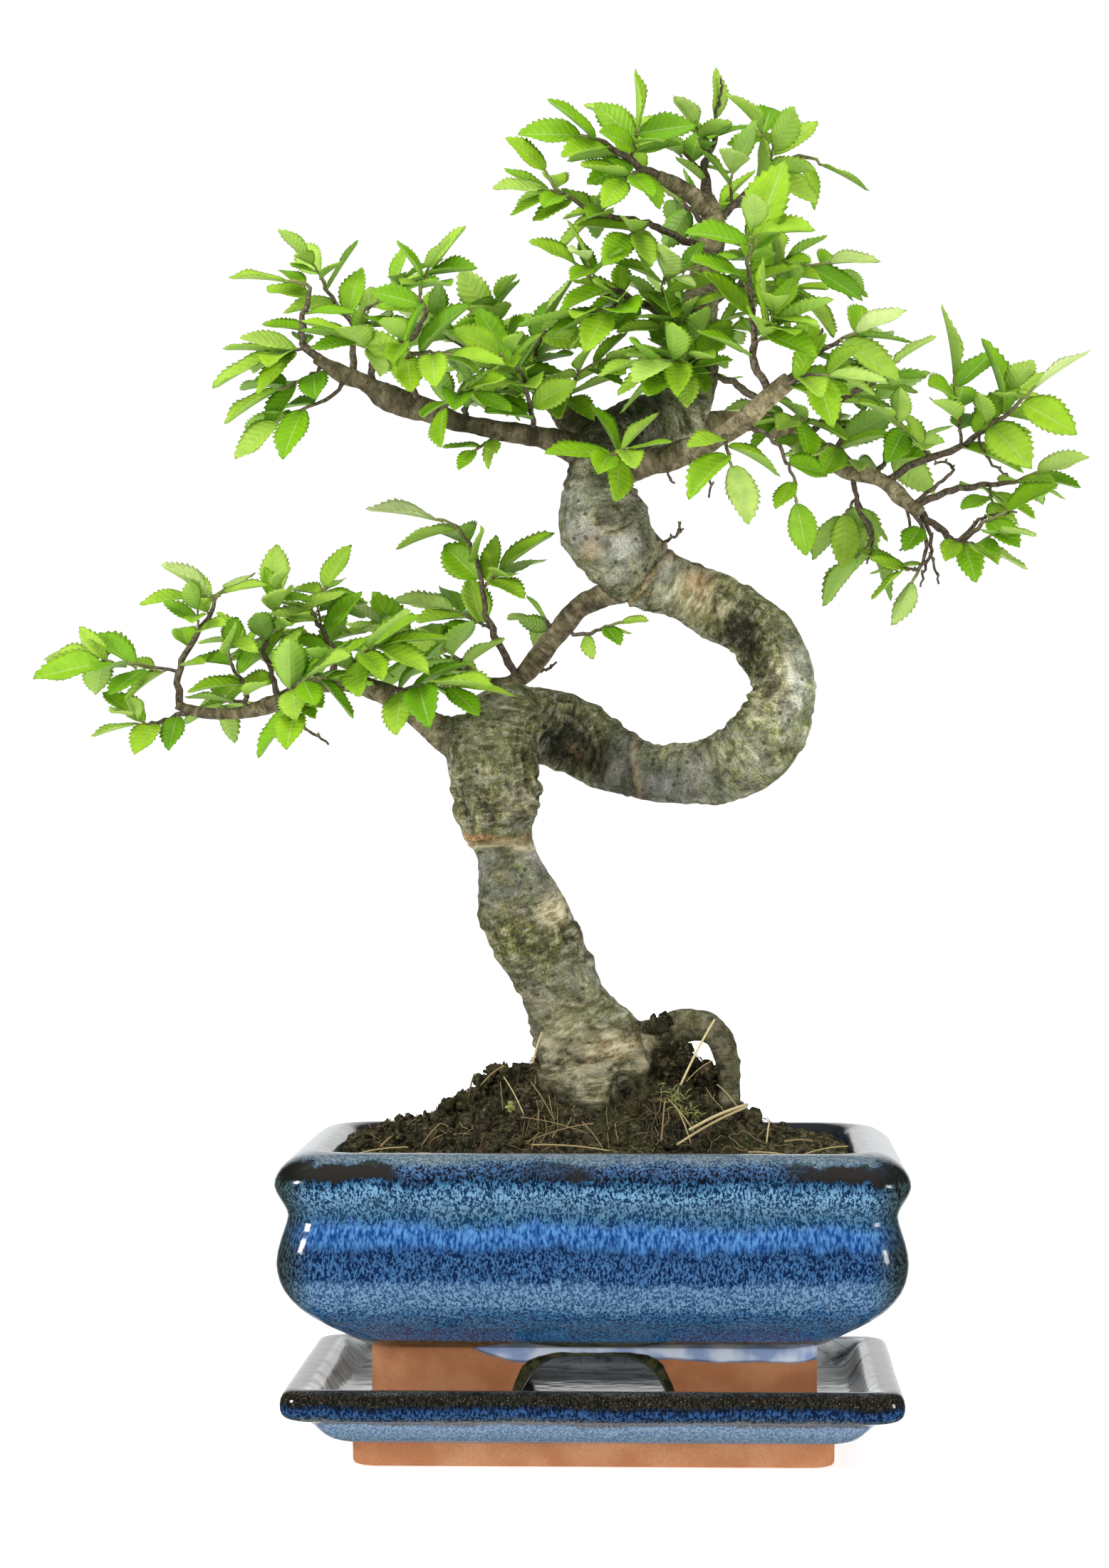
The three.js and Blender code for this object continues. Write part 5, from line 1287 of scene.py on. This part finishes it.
def blade_form(teeth, columns):
    """A blade of unit length and width: for each point its place across and along, and across as a
    share of the half width; whether it is on the underside; and the faces. Rows run from the stalk
    to the tip. The teeth of the two sides alternate."""
    step = (0.955 - 0.16) / (2 * teeth)
    smooth_rows = [0.045, 0.075, 0.12]
    points = []
    for i, t in enumerate(smooth_rows + [0.16 + i * step for i in range(2 * teeth)]):
        if t < 0.5:
            width = (1 - ((0.5 - max(t, 0.05)) / 0.47) ** 2.2) ** 0.68
        else:
            width = (1 - ((t - 0.5) / 0.5) ** 1.75) ** 0.98
        for s in columns:
            w, ahead = width, 0.0
            if i >= len(smooth_rows) and abs(s) == 1:
                out = (i - len(smooth_rows) + (s > 0)) % 2
                w *= 1.065 if out else 0.91
                ahead = step * (0.65 if out else -0.1)
            points.append((s * w * 0.5, t + ahead, s))
    c = len(columns)
    r = len(points) // c
    tip = len(points)
    points.append((0, 1.0, 0))
    upper = np.arange(r * c).reshape(r, c)
    lower = upper.copy()
    lower[:, 1:-1] = tip + 1 + np.arange(r * (c - 2)).reshape(r, c - 2)
    points += [points[i] for i in upper[:, 1:-1].ravel()]
    faces = []
    for i, j in itertools.product(range(r - 1), range(c - 1)):
        faces.append((upper[i, j], upper[i, j + 1], upper[i + 1, j + 1], upper[i + 1, j]))
        faces.append((lower[i, j], lower[i + 1, j], lower[i + 1, j + 1], lower[i, j + 1]))
    for j in range(c - 1):
        faces.append((upper[-1, j], upper[-1, j + 1], tip))
        faces.append((lower[-1, j + 1], lower[-1, j], tip))
    faces.append(tuple(upper[0, ::-1]) + tuple(lower[0, 1:-1]))
    return np.array(points), np.arange(len(points)) > tip, [tuple(map(int, f)) for f in faces]


# A finer blade for a leaf longer than each of these
BLADES = {
    17: blade_form(9, (-1, -0.68, -0.34, 0, 0.34, 0.68, 1)),
    11: blade_form(7, (-1, -0.6, -0.25, 0, 0.25, 0.6, 1)),
    0: blade_form(5, (-1, -0.5, 0, 0.5, 1)),
}
# Where a leaf sits: angle is that to its shoot, solid tells a seat that the solids may use, and
# place counts from the shoot's tip
Seat = namedtuple("Seat", "root along facing angle length solid place")


class Leaf(namedtuple("Leaf", "root rib across face length slender fold droop wave twist tint seed")):
    """Where one leaf is, how it lies, and how it is bent."""

    def form(self, side, along, edge):
        """Points for given places on the blade, from the stalk to the tip and across it."""
        length, width = self.length, self.length * self.slender
        rise = np.abs(side) * width * self.fold * 2 - self.droop * length * along ** 2
        rise += self.wave * width * np.abs(edge) ** 2 * np.sin(along * 9 + self.seed) * 0.5
        rise += self.wave * width * 0.25 * np.cos(along * 55) * np.abs(side) * 1.2
        angle = self.twist * along
        out = side * width
        return (self.root + np.outer(along * length, self.rib)
                + np.outer(out * np.cos(angle), self.across)
                + np.outer(rise + out * np.sin(angle), self.face))

    def probes(self):
        side = vec(0, 0.3, -0.3, 0, 0.38, -0.38, 0, 0.25, -0.25, 0)
        along = vec(0.22, 0.3, 0.3, 0.5, 0.55, 0.55, 0.75, 0.8, 0.8, 0.97)
        return self.form(side, along, side * 2)

    def build(self, shell):
        """The blade and its stalk."""
        blade, under, faces = next(made for least, made in BLADES.items() if self.length > least)
        side, along, edge = blade.T
        far = np.abs(edge)
        thick = 0.30 - 0.12 * far + 0.28 * (far < 0.1)
        rise = np.where(under, -thick, (far < 0.99) * 0.06)
        points = self.form(side, along, edge) + np.outer(rise, self.face)
        tint = np.full(len(blade), self.tint)
        shell.add(points, faces, 0, leaf=np.column_stack([edge, along, tint]), under=under)
        stalk = self.form(np.zeros(3), vec(-0.035, 0.02, 0.07), np.zeros(3)) - self.face * 0.12
        tube(shell, stalk, vec(0.5, 0.42, 0.3) * min(1, self.length / 16), 5, 1, tint=1.0)


def path_end(path, distance):
    """The point a distance before the end of a path, and the direction there."""
    for i in range(len(path) - 1, 0, -1):
        step = path[i] - path[i - 1]
        length = np.linalg.norm(step)
        if distance <= length or i == 1:
            along = step / length
            return path[i] - along * min(distance, length), along
        distance -= length


def path_length(path):
    return sum(np.linalg.norm(b - a) for a, b in zip(path, path[1:]))


def shoot_paths(twig, shoots):
    """Each shoot with its path. The path of the first one starts with the twig."""
    last = len(twig) - 1
    for i, shoot in enumerate(shoots):
        at, reached, _, leaf = shoot
        k = min(math.floor(at * last), last - 1)
        start = twig[k] + (twig[k + 1] - twig[k]) * (at * last - k)
        along = reached - start
        length = max(np.linalg.norm(along) - SHOOT["overhang"] * leaf, SHOOT["shortest"])
        end = start + unit(along) * length
        yield i, shoot, [start, end] if i else [*twig, end]


def leaf_seats(path, count, length, seed):
    """Seats from a shoot's tip backwards, on alternate sides, for leaves that face the light."""
    end = path[-1]
    to_light = 0.45 * (-1 if end[1] < 30 else 1)
    step = min(6.5, (path_length(path) - 3) / count)
    for j in range(count):
        root, along = path_end(path, 1.2 + j * step)
        facing = unit(vec(end[0], end[1] - 5, 0)) * 0.5
        facing = facing + [0.8 * (draw(seed, j, key) - 0.5) + lean
                           for key, lean in ((4, 0), (5, to_light), (6, 0.6))]
        facing = unit(facing - along * np.dot(facing, along))
        angle = 8 if j == 0 else 54 + 26 * (draw(seed, j, 7) - 0.5)
        fullness = (0.84 + 0.22 * draw(seed, j, 8)) * (1 - 0.2 * (j / count) ** 2)
        yield Seat(root, along, facing, math.radians(angle) * (-1 if j % 2 else 1),
                   length * fullness, j == 0 or draw(seed, j, 9) < 0.43, j)


def lay(seat, turn, loose=0.0):
    """The directions of a leaf on its seat: along its rib, across it, and out of its face."""
    facing = turned(seat.facing, seat.along, math.radians(turn))
    rib = unit(turned(seat.along, facing, seat.angle) - vec(0, 0, 0.12))
    if loose:
        rib = unit(rib * vec(1, 1, 0.6))
    across = unit(np.cross(facing, rib))
    return rib, across, np.cross(rib, across)


def seated_leaf(seat, turn, size, seed, loose=0.0):
    """A leaf on its seat. loose is 0 for one that the solids hold, and 1 for another."""
    j = seat.place
    rib, across, face = lay(seat, turn, loose)
    level = vec(0.5 * (draw(seed, j, 38) - 0.5), -0.22 + 0.5 * (draw(seed, j, 39) - 0.5), 1)
    level = unit(level - rib * np.dot(level, rib))
    tilt = math.atan2(np.dot(np.cross(face, level), rib), np.dot(face, level))
    tilt *= 0.45 + 0.4 * loose
    tint = (0.12 + 0.55 * draw(seed, j, 31) + (0.22 if j == 0 else 0.0)
            + 0.25 * (draw(seed, j, 37) > 0.86))
    return Leaf(seat.root, rib, turned(across, rib, tilt), turned(face, rib, tilt),
                length=seat.length * size * (1 + 0.05 * loose),
                slender=0.53 - 0.06 * loose + 0.12 * (draw(seed, j, 32) - 0.4),
                fold=0.17 + (0.06 + loose * 0.22) * (draw(seed, j, 33) - 0.45),
                droop=0.10 + (0.04 + loose * 0.12) * (draw(seed, j, 34) - 0.5),
                wave=0.05 + 0.05 * draw(seed, j, 35),
                twist=(0.12 + loose * 0.5) * (draw(seed, j, 36) - 0.5), tint=tint, seed=seed + j)


def held_leaf(seat, seed, corners):
    """The leaf that the solids hold on this seat, or None."""
    for size, turn in itertools.product(SOLID_SIZES, SOLID_TURNS):
        rib, _, face = lay(seat, turn)
        tip = seat.root + (rib - 0.1 * face) * seat.length * size
        if np.linalg.norm(corners - tip, axis=1).min() < FOUND:
            return seated_leaf(seat, turn, size, seed)
    return None


class Crowd:
    """What the leaves so far take up, so that a new one can be laid clear of them."""

    def __init__(self):
        self.cells = {}

    def add(self, points):
        for p in points:
            self.cells.setdefault(tuple((p // CELL).astype(int)), []).append(p)

    def room(self, points):
        """The least distance from these points to what is there, up to the size of a cell."""
        least = CELL
        for p in points:
            cell = (p // CELL).astype(int)
            near = [q for step in itertools.product((-1, 0, 1), repeat=3)
                    for q in self.cells.get(tuple(cell + step), ())]
            if near:
                least = min(least, np.linalg.norm(np.array(near) - p, axis=1).min())
        return least


def add_where_clear(leaves, crowd, seat, seed, turns, sizes, least):
    """Adds a leaf, turned and sized to where it has most room, unless that is less than least."""
    best, room = None, -1
    for size in sizes:
        for turn in turns:
            leaf = seated_leaf(seat, turn, size, seed, 1.0)
            space = crowd.room(leaf.probes()[2:])
            if space > room:
                best, room = leaf, space
            if space > CLEAR:
                break
        if room > ENOUGH:
            break
    if room >= least:
        leaves.append(best)
        crowd.add(best.probes())


def make_sprays():
    """First the leaves that the solids hold, then others on the seats that are left."""
    crowd = Crowd()
    plans = {}
    for name, (thick, points, shoots) in SPRAYS.items():
        corners = read_points(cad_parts[f"spray_{name}"].data)
        twig = [vec(*p) for p in points]
        leaves, open_seats = [], []
        for i, shoot, path in shoot_paths(twig, shoots):
            seed = len(name) + shoot[1][0] + shoot[1][2] + i
            for seat in leaf_seats(path, shoot[2], shoot[3], seed):
                found = held_leaf(seat, seed, corners) if seat.solid else None
                if found:
                    leaves.append(found)
                    crowd.add(found.probes())
                else:
                    open_seats.append((seat, seed))
        plans[name] = (thick, twig, shoots, leaves, open_seats)
    for name, (thick, twig, shoots, leaves, open_seats) in plans.items():
        for seat, seed in open_seats:
            if not name.startswith(SPARSE) or seat.place < 2:
                add_where_clear(leaves, crowd, seat, seed, TURNS, (1, 0.8), 1.7)
        shell = Shell()
        fill_out(name, twig, shoots, leaves, crowd, shell)
        build_stems(shell, name, thick, twig, shoots)
        for leaf in leaves:
            leaf.build(shell)
        shell.piece(f"spray_{name}_leafy", f"spray_{name}", [LEAF, TWIG])


def fill_out(name, twig, shoots, leaves, crowd, shell):
    """Short side shoots with smaller leaves, which fill the sprays out."""
    full = name.startswith(FULL)
    for i, shoot, path in shoot_paths(twig, shoots):
        length = path_length(path)
        fills = 1 + (length > 30) if full else int(draw(i, len(name), 50) < 0.2)
        for k in range(fills):
            seed = len(name) * 3 + shoot[1][0] * 1.7 + shoot[1][1] + k * 5 + i
            base, along = path_end(path, length * (0.12 + 0.26 * k + 0.1 * draw(seed, k, 51)))
            sideways = unit(np.cross(along, vec(0.3 * draw(seed, 1, 52), 0.2, 1)))
            sign = 1 if (k + i) % 2 else -1
            lean = vec(0, 0, 0.5 * draw(seed, 2, 53))
            lean = lean + sideways * sign * (0.7 + 0.5 * draw(seed, 3, 54))
            forward = unit(along * 0.8 + lean + vec(0, 0.6 * (draw(seed, 4, 55) - 0.5), 0))
            reach = 7 + 7 * draw(seed, 5, 56)
            tip = base + forward * reach
            size = shoot[3] * (0.70 + 0.2 * draw(seed, 6, 57))
            before = len(leaves)
            for seat in leaf_seats([base, tip], 3 + (reach > 10), size, seed):
                add_where_clear(leaves, crowd, seat, seed, SIDE_TURNS, (1,), 1.5 if full else 2.0)
            if len(leaves) > before:
                bend = (base + tip) / 2 + vec(0, 0, 0.6)
                stem = spline([base, bend, tip], 3)
                tube(shell, stem, np.linspace(0.46, 0.3, 7), 6, 1, tint=0.7)


def crooked(points, seed, steps=5):
    """A path through points that kinks a little at each bud, as elm twigs do, and how far along it
    each of its points is."""
    path = spline(points, steps)
    for i in range(1, len(path) - 1):
        path[i] += [(draw(seed, i, key) - 0.5) * 1.15 for key in (61, 62, 63)]
    return path, np.linspace(0, 1, len(path))


def knobbly(radii, amount, seed, key):
    return radii * (1 + amount * vec(*(draw(seed, i, key) for i in range(len(radii)))))


def build_stems(shell, name, thick, twig, shoots):
    """The twig with its first shoot, and then the other shoots."""
    seed = len(name) + twig[0][0]
    for i, _, path in shoot_paths(twig, shoots):
        if i == 0:
            path, t = crooked(path, seed)
            radii = knobbly(thick[0] * 0.72 * (1 - t) + 0.42 * t, 0.22, seed, 64)
            tube(shell, path, radii, 8, 1, tint=smooth(0.6, 1.0, t).repeat(8) * 0.8)
        else:
            start, end = path
            middle = (start + end) / 2 + vec(0, 0, 0.03 * np.linalg.norm(end - start))
            path, t = crooked([start, middle, end], seed + i - 1, 4)
            tube(shell, path, 0.62 - 0.26 * t, 7, 1, tint=smooth(0.2, 1.0, t).repeat(7) * 0.9)


def make_bare_twigs():
    shell = Shell()
    for number, (thick, points) in enumerate(BARE):
        path, t = crooked(points, number + 3, 4)
        tube(shell, path, knobbly(thick * (1 - t) + 0.32 * t, 0.2, number, 65), 7, 0, tint=0.0)
        for i in range(3, len(path) - 1, 3):  # buds
            away = unit([draw(number, i, 66) - 0.5, draw(number, i, 67) - 0.5, 0.6])
            bud = [path[i], path[i] + away * 0.8, path[i] + away * 1.5]
            tube(shell, bud, (0.5, 0.45, 0.15), 5, 0, tint=0.1)
    shell.piece("twigs_bare", None, [TWIG])


# Studio, in metres, degrees and watts

LENS = 99.12
CAMERA_PLACE = (0.0352, -1.4396, 0.2196)
CAMERA_TURN = 1.9625
FLOOR = (4000, -0.3)  # half width and height, in millimetres
AIM = (0, 0, 0.24)
# Lamps: name, place, width, height, power
LAMPS = [
    ("top", (-0.1, -0.3, 1.35), 1.0, 1.0, 12),
    ("key", (-1.45, -0.95, 0.85), 0.42, 0.42, 19),
    ("fill", (1.5, -0.9, 0.5), 0.36, 0.6, 10.5),
]


def make_studio():
    scene = bpy.context.scene
    scene.view_settings.view_transform = "Standard"
    scene.view_settings.look = "None"
    camera = bpy.data.cameras.new("camera")
    camera.lens, camera.sensor_width, camera.sensor_fit = LENS, 36, "AUTO"
    camera.clip_end = 20
    holder = bpy.data.objects.new("camera", camera)
    scene.collection.objects.link(holder)
    holder.location = CAMERA_PLACE
    holder.rotation_euler = (math.radians(90), 0, math.radians(CAMERA_TURN))
    scene.camera = holder

    world = scene.world or bpy.data.worlds.new("studio")
    scene.world = world
    world.use_nodes = True
    world.node_tree.nodes.clear()
    n = Nodes(world.node_tree)
    _, y, z = n.axes(n.coordinate("Generated"))
    # what shines in the glaze: a white wall behind and a dimmer ceiling, and a dark room in front
    shine = n.step(y, 0.80, 0.95, 0.03, 1.0) + n.step(z, 0.6, 0.95, 0.0, 0.12)
    plain = n.mix(n.new("LightPath", {}, "Is Glossy Ray"), (0.68, 0.69, 0.71), shine)
    seen = n.mix(n.new("LightPath", {}, "Is Camera Ray"), plain, (1.05, 1.05, 1.05))
    n.new("OutputWorld", {0: n.new("Background", {0: seen})})

    paint, n = material("studio_floor")
    n.surface((0.92, 0.92, 0.92), 0.9)
    n.shader(Emission_Color=(1.0, 1.0, 1.0), Emission_Strength=0.62)
    half, height = FLOOR
    corners = np.array([(x * half, y * half, height) for x, y in ((-1, -1), (1, -1), (1, 1), (-1, 1))])
    floor = mesh_object("floor", corners, [(0, 1, 2, 3)], [paint])
    floor.visible_glossy = False

    for name, place, width, height, power in LAMPS:
        light = bpy.data.lights.new(name, "AREA")
        light.shape = "RECTANGLE"
        light.size, light.size_y, light.energy = width, height, power
        lamp = bpy.data.objects.new(name, light)
        scene.collection.objects.link(lamp)
        lamp.location = place
        x, y, z = vec(*AIM) - place
        lamp.rotation_euler = (math.atan2(math.hypot(x, y), -z), 0, math.atan2(-x, y))
        lamp.visible_glossy = name != "top"


make_saucer()
make_pot()
make_soil()
make_litter()
make_trunk()
make_sprays()
make_bare_twigs()
make_studio()
